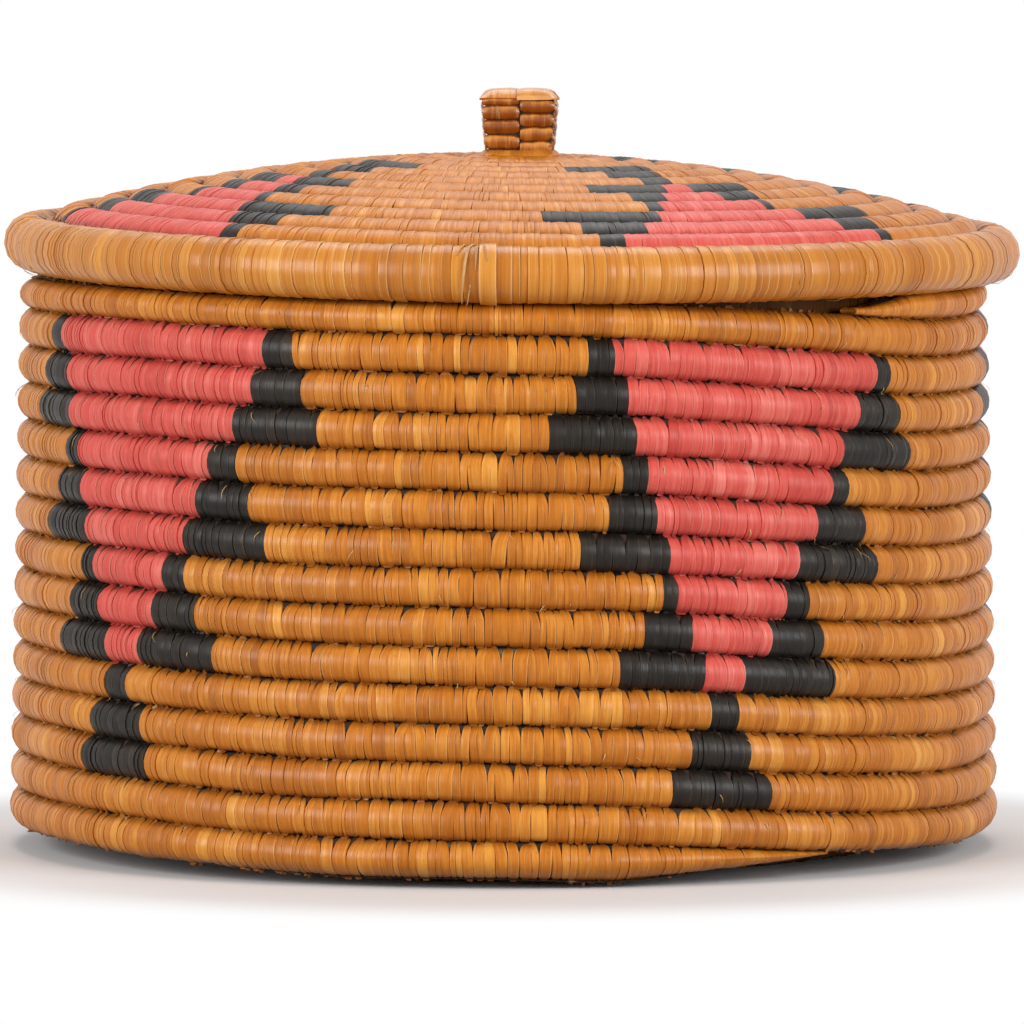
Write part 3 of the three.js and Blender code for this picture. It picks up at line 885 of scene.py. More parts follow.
@dataclass
class WallCoil(Coil):
    """The wall: one coil that falls by one course in each turn to the right."""

    pitch: float = 10.6 * MM
    top: float = 160.3 * MM
    mouth_radius: float = 139 * MM
    foot_radius: float = 142.6 * MM
    thickness: float = 10 * MM
    dip: float = 3.5 * MM
    waves: tuple[tuple[float, float, float], ...] = ((4, 1.15 * MM, 24.0), (3, 1.5 * MM, -11.0))
    groove: float = 4.0 * MM
    press: float = 2.3 * MM
    foot_tuck: float = 8 * MM
    foot_tuck_height: float = 8 * MM
    tip: float = 44.0
    taper: float = 17.0
    tip_share: float = 0.22
    tip_groove: float = 0.12
    tip_inset: float = 1.6 * MM
    tip_inset_inside: float = 3 * MM
    last: float = 5440.0
    runout: float = 27.0
    runout_share: float = 0.1
    runout_inset: float = 3 * MM
    shift: float = FOOT_SHIFT

    def fullness(self, along: Grid) -> Grid:
        """How much of its full height the coil has, which thins towards its tip."""
        return self.tip_share + (1 - self.tip_share) * ease((along - self.tip) / self.taper)

    def started(self, along: Grid) -> Grid:
        """How full the coil is near its start, where it thins away under the course above."""
        gone = np.clip((along - self.last + self.runout) / self.runout, 0, 1)
        return 1 - (1 - self.runout_share) * gone

    def crest(self, height: Grid) -> Grid:
        """Radius over the coils: a cone from foot to mouth, tucked in near the floor.

        Args:
            height: Metres above the floor.

        Returns:
            The radius.
        """
        cone = self.foot_radius + (self.mouth_radius - self.foot_radius) * height / self.top
        low = np.clip(1 - np.maximum(height, 0) / self.foot_tuck_height, 0, None)
        return cone - self.foot_tuck * low * low

    def radius(self, along: Grid) -> Grid:
        """Distance from the middle of the basket."""
        return np.full(np.shape(along), self.mouth_radius)

    def level(self, along: Grid, height: Grid) -> Grid:
        """Height above the floor. The course's lower groove falls evenly, its upper groove is nearer
        to it towards the tip. All courses dip on the right and wave a little.

        Args:
            along: Degrees along the coil.
            height: Place on the section, in half heights of the course.

        Returns:
            The height in metres.
        """
        full = self.fullness(along)
        below = self.top - self.pitch * along / 360
        press = self.press * (1 - ease((along - self.tip - 300) / 80))
        share = 1 - self.started(along) * (1 - height) / 2
        level = below + (self.pitch - press) * full * share
        level = level - self.dip * np.sin(np.radians(along)) + 0.2 * MM * ripple(along / 40, 7)
        for lobes, swing, crest in self.waves:
            level = level + swing * np.cos(lobes * np.radians(along - crest))
        return np.maximum(level, 0.1 * MM)

    def surface(self, along: Grid, height: Grid, lift: Grid, face: int) -> Grid:
        """Points on the scalloped wall: the crest less the groove's depth, and inside it the same
        one thickness further in. The thin tip and the thin start draw back a little.

        Args:
            along: As in Coil.
            height: As in Coil.
            lift: As in Coil.
            face: As in Coil.

        Returns:
            The points.
        """
        level = self.level(along, height)
        thin = 1 - self.fullness(along)
        depth = self.groove * hollow(height) * (1 - (1 - self.tip_groove) * thin)
        if face > 0:
            radius = self.crest(level) - depth - thin * self.tip_inset + lift
            radius = radius - self.runout_inset * (1 - self.started(along))
        else:
            inner = self.crest(np.maximum(level, self.foot_tuck_height)) - self.thickness
            radius = inner + thin * self.tip_inset_inside + depth - lift
        return spun(radius, np.radians(along), level, self.shift)

    def core(self, start: float, end: float) -> Shape:
        """The bundle of stems under the strips: a closed tube along the helix with an oval section.

        Args:
            start: Where it begins.
            end: Where it ends.

        Returns:
            The tube.
        """
        sides, step = 16, 5.0
        around = np.linspace(0, 2 * np.pi, sides, endpoint=False)
        out, up = np.cos(around), np.sin(around) * 1.02
        along = np.linspace(start, end, int((end - start) / step) + 1)
        along, up = np.meshgrid(along, up, indexing="ij")
        out = np.broadcast_to(out, along.shape)
        level = self.level(along, up)
        skin = 0.6 * MM
        half = (self.thickness / 2 - skin) * self.fullness(along)
        straight = self.crest(np.maximum(level, self.foot_tuck_height))
        tucked = (straight - self.crest(level)) * (out > 0)
        radius = straight - self.thickness / 2 + half * out - tucked
        radius = radius - self.runout_inset * (1 - self.started(along))
        points = spun(radius, np.radians(along), level, self.shift)
        return Shape(points, tube_faces(len(along), sides))


@dataclass
class Wall:
    """The wall's strips and bundle, with five stepped motifs."""

    coil: WallCoil
    strip: float = 2.6 * MM
    parts: int = 5
    motif: Motif = Motif(
        centres=(29.9, -45.3, -116.5, -187.5, -257.0),
        leans=(-0.48, -0.45, -0.4, -0.4, -0.4),
        first_turn=2,
        way=1,
        field_rows=9,
        field_half=17.5,
        field_step=1.83,
        borders=(2.7, 6.4, 10.8),
        feet=(1.7, 4.0, 6.1),
        skew=0.07,
    )

    def build(self, finishes: Finishes) -> None:
        """Builds the wall's pieces. The first course's strips have loose upper ends.

        Args:
            finishes: The materials.
        """
        coil = self.coil
        start = coil.tip + 1
        strips = Strips.along(coil, start, coil.last, self.strip, seed=3)
        for piece in dyed_pieces(strips, self.motif, "wall", self.parts):
            own = piece.strips
            free = own.place < start + 360
            shapes = [own.pick(mask).shape(coil, lay) for mask, lay in
                      ((free, FREE), (~free, SHOWN)) if mask.any()]
            shape = Shape.joined(shapes + [own.shape(coil, HIDDEN, -1)])
            shape.piece(piece.name, finishes.of(piece.dye), Body.BASKET, SLOTS[piece.dye],
                        piece.nodes)
        core = coil.core(coil.tip + 5, coil.last)
        core.piece("wall_bundle", finishes.stems, Body.BASKET, SLOTS[Dye.PLAIN], ("wall_coil",))


# Base


@dataclass
class DiscCoil(Coil):
    """A flat or domed spiral coil. Its radius grows with the place along it."""

    pitch: float
    edge: float
    thickness: float
    groove: float
    sense: int
    shift: float = 0.0

    def ring(self, along: Grid, height: Grid) -> Grid:
        """Radius at a place: the coil's outer groove at height 1 and its inner one at -1."""
        return self.edge + self.pitch * along / 360 + self.pitch * (height - 1) / 2

    def radius(self, along: Grid) -> Grid:
        """Distance from the middle of the basket."""
        return np.maximum(self.ring(along, 0 * along), 4 * MM)

    def face_level(self, radius: Grid, turn: Grid, face: int) -> Grid:
        """Height of the smooth face that the coils touch."""
        raise NotImplementedError

    def surface(self, along: Grid, height: Grid, lift: Grid, face: int) -> Grid:
        """Points on the scalloped face: a groove between two courses, as on the wall.

        Args:
            along: As in Coil.
            height: As in Coil.
            lift: As in Coil.
            face: As in Coil.

        Returns:
            The points.
        """
        radius = np.maximum(self.ring(along, height), 0.2 * MM)
        turn = np.radians(along) * self.sense
        depth = self.groove * hollow(height)
        level = self.face_level(radius, turn, face) + face * (lift - depth)
        return spun(radius, turn, level, self.shift)

    def core(self, start: float, end: float) -> Shape:
        """The bundle of stems: a closed tube along the spiral with a rounded section.

        Args:
            start: Where it begins.
            end: Where it ends.

        Returns:
            The tube.
        """
        sides, step = 12, 8.0
        around = np.linspace(0, 2 * np.pi, sides, endpoint=False)
        c, s = np.cos(around), np.sin(around)
        over = np.sign(c) * np.abs(c) ** 0.75 * 1.02
        up = np.sign(s) * np.abs(s) ** 0.7
        along = np.linspace(start, end, int((end - start) / step) + 1)
        along, over = np.meshgrid(along, over, indexing="ij")
        up = np.broadcast_to(up, along.shape)
        radius = np.maximum(self.ring(along, over), 0.2 * MM)
        turn = np.radians(along) * self.sense
        skin = 0.75 * MM
        top = self.face_level(radius, turn, 1) - skin
        low = self.face_level(radius, turn, -1) + skin
        level = (top + low) / 2 + (top - low) / 2 * up
        points = spun(radius, turn, level, self.shift)
        return Shape(points, tube_faces(len(along), sides))


@dataclass
class BaseCoil(DiscCoil):
    """The flat coil that closes the basket's floor."""

    stand: float = 0.6 * MM
    rise: float = 6.5 * MM
    rise_width: float = 25 * MM
    flat_radius: float = 106 * MM
    widest: float = 137 * MM

    def ring(self, along: Grid, height: Grid) -> Grid:
        """Radius at a place. The last turn is squeezed where it tucks into the wall."""
        return np.minimum(super().ring(along, height), self.widest + 0.5 * MM * height)

    def face_level(self, radius: Grid, turn: Grid, face: int) -> Grid:
        """The flat face above, and the one below, which curls up towards the wall."""
        below = self.stand + self.rise * ease((radius - self.flat_radius) / self.rise_width)
        return np.full(radius.shape, self.thickness) if face > 0 else below


@dataclass
class Base:
    """The base's strips and bundle."""

    edge: float = 131.0 * MM
    end: float = 355.0
    pitch: float = 10.5 * MM
    thickness: float = 9.5 * MM
    groove: float = 2.2 * MM
    strip: float = 3.1 * MM

    def build(self, finishes: Finishes) -> None:
        """Builds the base's pieces. The spiral starts one course from its middle.

        Args:
            finishes: The materials.
        """
        coil = BaseCoil(pitch=self.pitch, edge=self.edge, thickness=self.thickness,
                        groove=self.groove, sense=-1, shift=FOOT_SHIFT)
        start = -360 * (self.edge / self.pitch - 1.0)
        strips = Strips.along(coil, start, self.end, self.strip, seed=21)
        # The strips below take the dark finish of painted shade, which stands in for the contact
        # shadow under the curled foot.
        for name, face, look, nodes in (("base_strips", 1, finishes.plain, ("base_coil",)),
                                        ("base_strips_below", -1, finishes.aged, ())):
            shape = strips.shape(coil, HIDDEN, face)
            shape.piece(name, look, Body.BASKET, SLOTS[Dye.PLAIN], nodes)
        core = coil.core(start, self.end)
        core.piece("base_bundle", finishes.stems, Body.BASKET, SLOTS[Dye.PLAIN])


# Lid


@dataclass
class LidCoil(DiscCoil):
    """The domed coil of the lid, which dips at the front and on the right."""

    seat: float = 171.7 * MM
    rise: float = 26.9 * MM
    dome_radius: float = 500 * MM
    forward: float = 3.8 * MM
    right: float = 1.65 * MM
    bow: float = 0.6 * MM
    dive_radius: float = 131 * MM
    dive_rate: float = 0.22
    dive_most: float = 8.0
    rim_radius: float = 138.9 * MM

    def settle(self, x: Grid, y: Grid) -> Grid:
        """How far the lid is lifted where it sits on the uneven mouth."""
        x, y = x / self.rim_radius, y / self.rim_radius
        return self.forward * y - self.right * x + self.bow * (x * x - y * y)

    def dome(self, radius: Grid) -> Grid:
        """Height of the dome over the coils, before it settles."""
        drop = self.dome_radius - np.sqrt(self.dome_radius ** 2 - radius ** 2)
        return self.seat + self.rise - drop

    def face_level(self, radius: Grid, turn: Grid, face: int) -> Grid:
        """Height of a smooth face: above, the dome, which dives under the rim by a rate times the
        square of the millimetres past the dive's radius, and below, the dome one thickness lower.

        Args:
            radius: Distance from the middle.
            turn: Azimuth in radians.
            face: 1 for above and -1 for below.

        Returns:
            The height in metres.
        """
        x, y = radius * np.sin(turn), -radius * np.cos(turn)
        under = np.maximum(radius - self.dive_radius, 0) / MM
        dive = np.minimum(self.dive_rate * under ** 2, self.dive_most) * MM
        lower = self.thickness if face < 0 else dive
        return self.dome(radius) + self.settle(x, y) - lower


@dataclass
class RimCoil(Coil):
    """The rim: a thick oval coil sewn round the lid's edge. Its section's place is an angle that
    runs from 1 at the dome, over the outside, to -1 underneath."""

    lid: LidCoil
    radius_middle: float = LidCoil.rim_radius
    width: float = 14 * MM
    tallness: float = 14.6 * MM
    start_turn: float = 150.0
    end_turn: float = -215.0

    def radius(self, along: Grid) -> Grid:
        """Distance from the middle of the basket."""
        return np.full(np.shape(along), self.radius_middle + self.width / 2)

    def surface(self, along: Grid, height: Grid, lift: Grid, face: int) -> Grid:
        """Points on the oval section, whose angle runs evenly with the place on it.

        Args:
            along: As in Coil.
            height: As in Coil.
            lift: As in Coil.
            face: Not used, as the section runs all the way round.

        Returns:
            The points.
        """
        share = (1 - height) / 2
        angle = np.radians(self.start_turn + (self.end_turn - self.start_turn) * share)
        radius = self.radius_middle + (self.width / 2 + lift) * np.cos(angle)
        level = self.lid.seat + (self.tallness / 2 + lift) * np.sin(angle)
        points = spun(radius, np.radians(along), level)
        points[..., 2] += self.lid.settle(points[..., 0], points[..., 1])
        return points

    def core(self) -> Shape:
        """The bundle: a closed ring with an oval section.

        Returns:
            The ring.
        """
        sides, steps = 16, 120
        turn, height = np.meshgrid(
            np.linspace(0, 360, steps, endpoint=False),
            1 - 2 * np.arange(sides) / sides * 360 / (self.start_turn - self.end_turn),
            indexing="ij")
        points = self.surface(turn, height, np.full(turn.shape, -0.5 * MM), 1)
        faces = tube_faces(steps + 1, sides, closed_ends=False) % (steps * sides)
        return Shape(points, faces)


RIM_LAY = Lay(
    height=(1.0, 0.86, 0.72, 0.58, 0.44, 0.3, 0.16, 0.02, -0.12, -0.28, -0.46, -0.66, -0.84, -1.0),
    width=(0.5, 0.85, 0.97, 1.0, 1.0, 1.0, 1.0, 1.0, 1.0, 1.0, 0.98, 0.95, 0.9, 0.8),
    lift=(-0.2, 0.15, 0.2, 0.2, 0.2, 0.2, 0.2, 0.2, 0.2, 0.2, 0.2, 0.2, 0.15, -0.1),
    across=(-1.0, -0.96, -0.5, 0.5, 0.96, 1.0),
    crown=(-0.4, 0.1, 0.17, 0.17, 0.1, -0.4),
)


@dataclass
class Lid:
    """The lid's dome, rim and locating ring."""

    pitch: float = 10.5 * MM
    edge: float = 134.4 * MM
    thickness: float = 9 * MM
    groove: float = 2.7 * MM
    hub: float = 9 * MM
    parts: int = 2
    strip: float = 2.4 * MM
    rim_strip: float = 3.5 * MM
    ring_strip: float = 3.6 * MM
    ring_width: float = 9 * MM
    ring_tallness: float = 18 * MM
    splice: float = -3.2
    below_end: float = 100.0
    end: float = 290.0
    motif: Motif = Motif(
        centres=(32.0, -56.0, -147.0, -238.0),
        leans=(0.6, 0.3, 0.3, 0.3),
        first_turn=0,
        way=-1,
        field_rows=6,
        field_half=18.3,
        field_step=3.0,
        borders=(2.6, 7.6, 16.0),
        feet=(3.5, 9.3, 18.0),
    )

    def __post_init__(self) -> None:
        """Makes the coil that the rest follows."""
        self.coil = LidCoil(pitch=self.pitch, edge=self.edge, thickness=self.thickness,
                            groove=self.groove, sense=1)

    def build(self, finishes: Finishes) -> None:
        """Builds the lid's pieces.

        Args:
            finishes: The materials.
        """
        self.build_dome(finishes)
        self.build_rim(finishes)
        self.build_ring(finishes)

    def build_dome(self, finishes: Finishes) -> None:
        """Builds the domed coil with its motifs. Its strips' peaks lean less than the wall's.

        Args:
            finishes: The materials.
        """
        coil = self.coil
        start = -360 * ((self.edge - self.hub) / self.pitch)
        strips = Strips.along(coil, start, self.end, self.strip, seed=11, tones=0.5)
        strips.peak *= 0.3
        for piece in dyed_pieces(strips, self.motif, "lid", self.parts):
            own = piece.strips
            below = own.pick(own.place < self.below_end)
            shape = Shape.joined([own.shape(coil, DOME), below.shape(coil, HIDDEN, -1)])
            shape.piece(piece.name, finishes.of(piece.dye), Body.LID, SLOTS[piece.dye],
                        piece.nodes)
        core = coil.core(start, self.below_end)
        core.piece("lid_bundle", finishes.stems, Body.LID, SLOTS[Dye.PLAIN], ("lid_coil",))

    def build_rim(self, finishes: Finishes) -> None:
        """Builds the thick rim. At its splice the last strip tucks under the proud first one.

        Args:
            finishes: The materials.
        """
        coil = RimCoil(self.coil)
        strips = Strips.along(coil, self.splice, self.splice + 360, self.rim_strip, seed=17,
                              tones=0.8)
        strips.raised[0], strips.tone[0], strips.width[0] = 0.7 * MM, 0.62, 1.9
        strips.raised[-1], strips.tone[-1], strips.width[-1] = 0.1 * MM, 0.2, 1.8
        shape = strips.shape(coil, RIM_LAY)
        shape.piece("rim_strips", finishes.rim, Body.LID, "rim_strips", ("lid_rim",))
        coil.core().piece("rim_bundle", finishes.stems, Body.LID, "rim_strips")

    def build_ring(self, finishes: Finishes) -> None:
        """Builds the locating ring under the lid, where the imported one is.

        Args:
            finishes: The materials.
        """
        low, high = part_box("lid_locating_ring")
        coil = RimCoil(self.coil, radius_middle=high.x - self.ring_width / 2,
                       width=self.ring_width, tallness=self.ring_tallness, start_turn=180.0,
                       end_turn=-180.0)
        middle = (low.z + high.z) / 2 - self.coil.seat
        strips = Strips.along(coil, 0, 360, self.ring_strip, seed=19)
        # The ring's strips take the dark finish of painted shade, which stands in for the shadow in
        # the gap under the rim.
        for shape, name, look, nodes in (
            (strips.shape(coil, RIM_LAY), "ring_strips", finishes.aged, ("lid_locating_ring",)),
            (coil.core(), "ring_bundle", finishes.stems, ()),
        ):
            shape.points[:, 2] += middle
            shape.piece(name, look, Body.LID, SLOTS[Dye.PLAIN], nodes)


# Knob


@dataclass
class Knob:
    """The knob: four folded strands of glossy leaf that cross each other, over a small skirt.
    On each face the left column's folds reach its edge, and the right column's stop short of the
    folded ends of the next face."""

    half: float = 11.6 * MM
    tallness: float = 17 * MM
    narrow: float = 0.12
    leaf: float = 0.6 * MM
    gap: float = 0.12 * MM
    left_short: float = 0.6 * MM
    right_short: float = 1.4 * MM
    bulge: float = 0.85
    crease: float = 1.6 * MM
    roots: tuple[float, float] = (2.8 * MM, 2.3 * MM)
    # A painted highlight on each fold: its place and width on the bend in degrees, and how much it
    # raises the tone.
    highlight_bend: float = 38.0
    highlight_width: float = 16.0
    highlight_tone: float = 0.45
    tone: float = 0.4
    tone_spread: float = 0.09
    cap_tone: float = 0.85
    rounding: float = 0.16
    cap_level: float = 16.5 * MM
    heart_half: float = 9.9 * MM
    heart_top: float = 16.2 * MM
    skirt_inner: float = 9.2 * MM
    skirt_outer: float = 11.9 * MM
    skirt_tallness: float = 1.5 * MM
    middle: float = 2.2 * MM
    foot: float = 198.4 * MM
    left_folds: tuple[tuple[float, float], ...] = ((3.9, 2.0), (8.1, 2.1), (12.3, 2.05), (15.5, 1.1))
    right_folds: tuple[tuple[float, float], ...] = ((2.2, 1.8), (6.1, 2.0), (10.1, 1.95), (14.1, 1.95))

    def build(self, finishes: Finishes) -> None:
        """Builds the strands, the heart and the skirt.

        Args:
            finishes: The materials.
        """
        nodes = {
            "knob_strand_left": (0, -1),
            "knob_strand_right": (0, 1),
            "knob_strand_front": (1, -1),
            "knob_strand_back": (1, 1),
        }
        for name, (turned, side) in nodes.items():
            shape = self.strand_shape(turned, side)
            shape.piece(name.replace("knob_strand", "knob_fold"), finishes.knob, Body.LID,
                        "knob_leaf", (name,))
        self.heart().piece("knob_heart", finishes.stems, Body.LID, "knob_leaf")
        self.skirt().piece("knob_skirt", finishes.plain, Body.LID, SLOTS[Dye.PLAIN],
                           ("knob_collar",))

    def strand_shape(self, turned: int, side: int) -> Shape:
        """One strand: folds stacked on two opposite faces, and its last pass over the top.

        Args:
            turned: 0 for a strand that runs from front to back, 1 for one that runs sideways.
            side: Which side of the middle line it lies on.

        Returns:
            The strand.
        """
        shapes = [self.cap(turned, side)]
        for end in (-1, 1):
            left = side * end > 0
            for i, (level, tall) in enumerate(self.left_folds if left else self.right_folds):
                shapes.append(self.fold(turned, side, end, (level * MM, tall * MM), i))
        return Shape.joined(shapes)

    def stand(self, flat: Grid, turned: int) -> Grid:
        """Narrows the plait towards its foot, turns a sideways strand, and puts it on the lid.

        Args:
            flat: Points of a strand that runs from front to back, measured from the foot.
            turned: 1 to turn it sideways.

        Returns:
            The points.
        """
        flat = flat.copy()
        flat[:, :2] *= 1 - self.narrow * (1 - flat[:, 2:] / self.tallness)
        if turned:
            flat = np.stack([flat[:, 1], -flat[:, 0], flat[:, 2]], -1)
        return flat + np.array([self.middle, 0, self.foot])

    def fold(self, turned: int, side: int, end: int, size: tuple[float, float], i: int) -> Shape:
        """One fold: a leaf bent back on itself, so that its section is a thin U on its side. The
        outer line runs out along the top, round the bend and back below, and the inner one returns
        a leaf's thickness inside it.

        Args:
            turned: As in strand_shape.
            side: As in strand_shape.
            end: -1 for the front or left face, 1 for the other.
            size: Height of its middle and half its height.
            i: Its number, which picks its small differences.

        Returns:
            The fold.
        """
        level, tall = size
        chance = np.random.default_rng(100 + 7 * i + 31 * turned + 3 * side + end)
        left = side * end > 0
        bend = np.linspace(np.pi / 2, -np.pi / 2, 9)
        # The leaf has a painted highlight a little above the middle of its bend, and painted shade in
        # the creases.
        pale = np.pad(np.exp(-((np.degrees(bend) - self.highlight_bend) / self.highlight_width) ** 2), 2)
        share = np.pad(np.linspace(0.08, 0.92, 9), 2, constant_values=(0, 1))
        pale, share = (np.concatenate([line, line[::-1]]) for line in (pale, share))
        lines = []
        for thick, way in ((0.0, 1), (self.leaf, -1)):
            r = tall - thick
            out = self.bulge * r * np.cos(bend) + thick * (1 - self.bulge) - self.crease
            out = np.concatenate([[-root for root in self.roots], out,
                                  [-root for root in self.roots[::-1]]])
            up = np.concatenate([[r, r], r * np.sin(bend), [-r, -r]])
            lines.append(np.stack([out, up])[:, ::way])
        out, up = np.concatenate(lines, 1)
        steps, sides = 9, len(out)
        along = np.linspace(0, 1, steps)
        row, column = np.meshgrid(np.arange(steps), np.arange(sides), indexing="ij")
        far = self.half - (self.left_short if left else self.right_short)
        x = side * (self.gap + (far - self.gap) * along[row])
        round_off = 1 - self.rounding * np.abs(2 * along[row] - 1) ** 6
        wave = 0.1 * MM * ripple(along[row] * 1.5, 60 + 11 * i + 5 * end + 2 * side + turned)
        y = end * (self.half - 0.25 * MM + out[column] + (round_off - 1) * 2.5 * MM + wave)
        tilt = chance.normal(0, 0.015)
        z = level + up[column] * round_off + tilt * (x - side * far / 2) + wave
        flat = np.stack([x, y, z], -1).reshape(-1, 3)
        mapped = np.stack([along[row], column / 5 + 5 * i], -1)
        tone = self.tone + self.tone_spread * chance.standard_normal()
        # The painted highlight raises the tone.
        tone = tone + self.highlight_tone * pale[column]
        own = np.stack(np.broadcast_arrays(tone, 0.6 * chance.uniform(), share[column]), -1)
        return Shape(self.stand(flat, turned), tube_faces(steps, sides), mapped, own)

    def cap(self, turned: int, side: int) -> Shape:
        """The strand's last pass: a pillow over one quarter of the top, that falls to the face
        where the strand folds down, and rounds off at its outer side.

        Args:
            turned: As in strand_shape.
            side: As in strand_shape.

        Returns:
            The cap.
        """
        reach = np.array([-0.8, 1.5, 4.0, 6.5, 8.5, 9.8, 10.6, 10.9, 10.5, 8.5, 4.0, -0.8]) * MM
        high = np.array([2.7, 3.0, 3.1, 2.9, 2.3, 1.4, 0.6, 0.1, -0.3, -0.5, -0.6, -0.6]) * MM
        steps, sides = 13, len(reach)
        t = np.linspace(0, 1, steps) ** 0.8
        row, column = np.meshgrid(np.arange(steps), np.arange(sides), indexing="ij")
        outward = 1 - t[row]
        rise = (1 - outward ** 8) * (0.9 + 0.1 * (1 - outward)) * (1 - 0.4 * (1 - outward) ** 16)
        x = side * (self.gap + (self.half - 0.1 * MM) * outward)
        y = side * reach[column]
        z = self.cap_level + high[column] * np.where(high[column] > 0, rise, 1)
        flat = np.stack([x, y, z], -1).reshape(-1, 3)
        mapped = np.stack([t[row] * 2.0, reach[column] / (2 * MM)], -1)
        own = np.stack(np.broadcast_arrays(
            np.full(row.shape, self.cap_tone), 0.5 + 0.2 * side, 0.5), -1)
        return Shape(self.stand(flat, turned), tube_faces(steps, sides), mapped, own)

    def heart(self) -> Shape:
        """The plait's inside: a square block within its folds, near-black as painted shade for the
        gaps between them.

        Returns:
            The block.
        """
        corners = np.array([[1, 1], [-1, 1], [-1, -1], [1, -1]]) * self.heart_half
        flat = np.array([[x, y, z] for z in (0.1 * MM, self.heart_top) for x, y in corners])
        return Shape(self.stand(flat, 0), tube_faces(2, 4))

    def skirt(self) -> Shape:
        """The skirt at the knob's foot: a square ring whose side slopes outwards and down.

        Returns:
            The ring.
        """
        steps, inner, outer, tallness = 48, self.skirt_inner, self.skirt_outer, self.skirt_tallness
        turn = np.linspace(0, 2 * np.pi, steps, endpoint=False)
        square = 1 / (np.abs(np.cos(turn)) ** 6 + np.abs(np.sin(turn)) ** 6) ** (1 / 6)
        reach = np.array([inner, inner, inner + 1.2 * MM, outer, outer])
        level = np.array([-1.0 * MM, tallness, tallness, 0.2 * MM, -1.0 * MM])
        x = reach[None] * (square * np.cos(turn))[:, None] + self.middle
        y = reach[None] * (square * np.sin(turn))[:, None]
        z = np.broadcast_to(level + self.foot, x.shape)
        row, column = np.meshgrid(np.arange(steps), np.arange(5), indexing="ij")
        faces = tube_faces(steps + 1, 5, closed_ends=False) % (steps * 5)
        mapped = np.stack([row / 2.0, column * 0.8], -1)
        own = np.stack(np.broadcast_arrays(0.5 + 0.2 * ripple(row / 3.0, 4), 0.5, 0.5), -1)
        return Shape(np.stack([x, y, z], -1), faces, mapped, own)


# Loose fibres


def fibres(coil: Coil, places: Grid, heights: Grid, seed: int, length: float,
           thick: float = 0.17 * MM) -> Shape:
    """Thin frayed fibres that stand off a coil: each is a tapering four-sided tube along a curve
    that leaves the coil at a slant and bends back to it.

    Args:
        coil: The coil.
        places: Where each one starts, in degrees.
        heights: Its place on the section.
        seed: Picks the slants.
        length: Mean length in metres.
        thick: Thickness at the root in metres.

    Returns:
        The fibres.
    """
    chance = np.random.default_rng(seed)
    count, rows, sides = len(places), 7, 4
    t = np.linspace(0, 1, rows)[None]
    size = length * chance.uniform(0.5, 1.6, count)[:, None]
    spread, most = 40, 75
    slant = np.radians(np.clip(chance.normal(0, spread, count), -most, most))[:, None]
    per_degree = np.radians(coil.radius(places))[:, None]
    fall = WallCoil.pitch / 2
    along = places[:, None] + np.sin(slant) * size * t / per_degree
    height = heights[:, None] - np.cos(slant) * size * t / fall
    # Each one stands farthest off a little past its middle.
    root, bow = 0.35, chance.uniform(0.2, 0.9, count)[:, None]
    off = (root + bow * 4 * t * (1.25 - t)) * MM
    width = thick * (1 - 0.75 * t) + 0 * off
    over = np.array([0.5, 0, -0.5, 0])
    lifts = np.array([0, 1, 0, -1]) * 0.6
    points = coil.surface(
        along[..., None] + over * (width / per_degree)[..., None] * 2,
        np.broadcast_to(np.clip(height, -1.1, 1.1)[..., None], (count, rows, sides)),
        off[..., None] + lifts * width[..., None], 1)
    faces = tube_faces(rows, sides)[None] + np.arange(count)[:, None, None] * rows * sides
    mapped = np.broadcast_to(
        np.stack([0.5 + 0 * t, 3 * t], -1)[:, :, None], (count, rows, sides, 2))
    own = np.stack(np.broadcast_arrays(
        chance.uniform(0.2, 1, count)[:, None, None], 0.5, np.full((count, rows, sides), 0.5)), -1)
    return Shape(points, faces, mapped, own)


@dataclass
class Fibres:
    """The loose fibres of the wall and the rim."""

    wall: WallCoil
    rim: RimCoil
    on_wall: int = 300
    on_rim: int = 40
    wall_length: float = 2.6 * MM
    rim_length: float = 4.5 * MM
    tuft_length: float = 3.2 * MM
    tuft_thick: float = 0.5 * MM

    def build(self, finishes: Finishes) -> None:
        """Builds both sets of fibres. Most of the wall's start near the upper groove of a course,
        and the rim has a tuft of thicker ones at its splice.

        Args:
            finishes: The materials.
        """
        chance = np.random.default_rng(5)
        count = self.on_wall
        places = chance.uniform(100, 360 * 14.2, count)
        heights = np.where(chance.uniform(0, 1, count) > 0.3, chance.normal(0.75, 0.15, count),
                           chance.normal(-0.5, 0.3, count))
        loose = fibres(self.wall, places, heights, 8, self.wall_length)
        loose.piece("wall_fibres", finishes.fibre, Body.BASKET, SLOTS[Dye.PLAIN])
        places = chance.uniform(0, 360, self.on_rim)
        heights = chance.uniform(-0.3, 0.4, self.on_rim)
        loose = fibres(self.rim, places, heights, 9, self.rim_length)
        tuft = fibres(self.rim, np.array([-5.2, -4.7, -4.1, -3.8, -3.3]),
                      np.array([0.72, 0.6, 0.76, 0.66, 0.7]), 12, self.tuft_length,
                      self.tuft_thick)
        loose = Shape.joined([loose, tuft])
        loose.piece("rim_fibres", finishes.fibre, Body.LID, "rim_strips")


# Studio


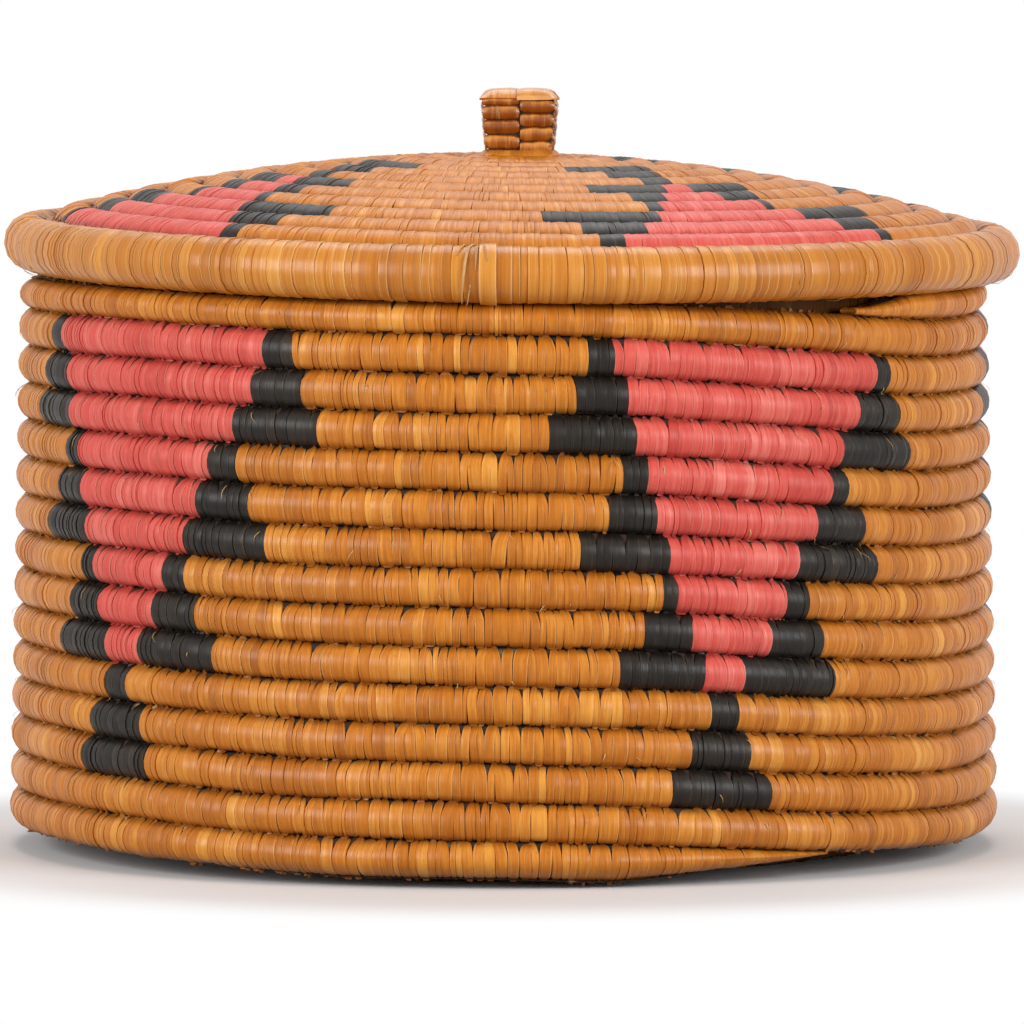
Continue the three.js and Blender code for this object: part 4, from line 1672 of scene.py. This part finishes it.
@dataclass
class Studio:
    """The floor, the light and the camera."""

    distance: float = 2.210
    height: float = 0.2174
    pitch: float = 0.0552
    sensor: float = 36
    focal: float = 7650 / 1024 * sensor
    near_floor: float = 0.175
    far_floor: float = 0.225
    floor_reach: float = 6.0
    lamp_size: float = 1.0
    side_power: float = 24
    top_power: float = 9.3
    backdrop: float = 1.0
    ambient: float = 0.19

    def build(self) -> None:
        """Builds everything around the basket."""
        self.floor()
        self.world()
        self.lamp("left light", (-1.3, -1.1, 0.62), self.side_power)
        self.lamp("right light", (1.3, -1.1, 0.62), self.side_power)
        self.lamp("top light", (0, 0.5, 1.35), self.top_power)
        self.camera()

    def seen(self, w: Wiring) -> bpy.types.NodeSocket:
        """Tells the rays that show the backdrop: straight ones, reflections and refractions.

        Args:
            w: The tree that asks.

        Returns:
            1 for those rays and 0 for the rest.
        """
        path = w.node("ShaderNodeLightPath")
        return w.math("MAXIMUM", path.outputs["Is Camera Ray"],
                      w.math("MAXIMUM", path.outputs["Is Glossy Ray"],
                             path.outputs["Is Transmission Ray"]))

    def floor(self) -> None:
        """A large pale disc, which turns into the plain white backdrop beyond the basket's
        shadow."""
        steps = 64
        turn = np.linspace(0, 2 * np.pi, steps, endpoint=False)
        points = self.floor_reach * np.stack([np.cos(turn), np.sin(turn), 0 * turn], -1)
        mesh = bpy.data.meshes.new("floor")
        mesh.from_pydata(points.tolist(), [], [list(range(steps))])
        made = bpy.data.objects.new("floor", mesh)
        bpy.context.scene.collection.objects.link(made)
        material = bpy.data.materials.new("floor")
        material.use_nodes = True
        w = Wiring(material.node_tree)
        shader = material.node_tree.nodes["Principled BSDF"]
        shader.inputs["Roughness"].default_value = 0.9
        shader.inputs["Specular IOR Level"].default_value = 0.1
        seen = self.seen(w)
        w.join(w.mix(seen, (0.4, 0.4, 0.4, 1), (0.93, 0.93, 0.93, 1)), shader.inputs["Base Color"])
        spots = w.node("ShaderNodeTexCoord")
        away = w.node("ShaderNodeVectorMath", operation="LENGTH")
        w.join(spots.outputs["Object"], away.inputs[0])
        white = w.node("ShaderNodeEmission")
        both = w.node("ShaderNodeMixShader")
        far = w.span(away.outputs["Value"], self.near_floor, self.far_floor)
        w.join(w.math("MULTIPLY", seen, far), both.inputs[0])
        w.join(shader.outputs[0], both.inputs[1])
        w.join(white.outputs[0], both.inputs[2])
        w.join(both.outputs[0], material.node_tree.nodes["Material Output"].inputs["Surface"])
        mesh.materials.append(material)

    def world(self) -> None:
        """A white backdrop for the camera and a soft grey light for the basket."""
        world = bpy.data.worlds.new("studio")
        bpy.context.scene.world = world
        world.use_nodes = True
        w = Wiring(world.node_tree)
        background = world.node_tree.nodes["Background"]
        background.inputs["Color"].default_value = (1, 1, 1, 1)
        seen = self.seen(w)
        more = w.math("MULTIPLY", seen, self.backdrop - self.ambient)
        w.join(w.math("ADD", more, self.ambient), background.inputs["Strength"])

    def lamp(self, name: str, place: tuple[float, float, float], power: float) -> None:
        """A square soft box that looks at the middle of the basket.

        Args:
            name: The lamp's name.
            place: Where it hangs, not straight above its aim.
            power: Its power in watts.
        """
        light = bpy.data.lights.new(name, "AREA")
        light.size = self.lamp_size
        light.energy = power
        made = bpy.data.objects.new(name, light)
        bpy.context.scene.collection.objects.link(made)
        aim = np.array([0, 0, 0.1]) - np.array(place)
        side = np.cross(aim, [0, 0, 1])
        side = side / np.linalg.norm(side)
        back = -aim / np.linalg.norm(aim)
        up = np.cross(back, side)
        turned = Matrix(np.stack([side, up, back], -1).tolist()).to_4x4()
        turned.translation = place
        made.matrix_world = turned

    def camera(self) -> None:
        """The photograph's camera: far off, level with the knob and tipped down a little."""
        lens = bpy.data.cameras.new("camera")
        lens.lens = self.focal
        lens.sensor_width = self.sensor
        lens.clip_start, lens.clip_end = 0.05, 50
        made = bpy.data.objects.new("camera", lens)
        bpy.context.scene.collection.objects.link(made)
        c, s = np.cos(self.pitch), np.sin(self.pitch)
        turned = Matrix(((1, 0, 0), (0, s, -c), (0, c, s))).to_4x4()
        turned.translation = (0, -self.distance, self.height)
        made.matrix_world = turned
        scene = bpy.context.scene
        scene.camera = made
        scene.view_settings.view_transform = "Standard"


def main() -> None:
    """Builds the basket from its foot to its knob, then the studio."""
    logging.basicConfig(level=logging.INFO, format="%(message)s")
    finishes = Finishes()
    wall = Wall(WallCoil())
    wall.build(finishes)
    Base().build(finishes)
    lid = Lid()
    lid.build(finishes)
    Knob().build(finishes)
    Fibres(wall.coil, RimCoil(lid.coil)).build(finishes)
    Studio().build()


if __name__ == "__main__":
    main()
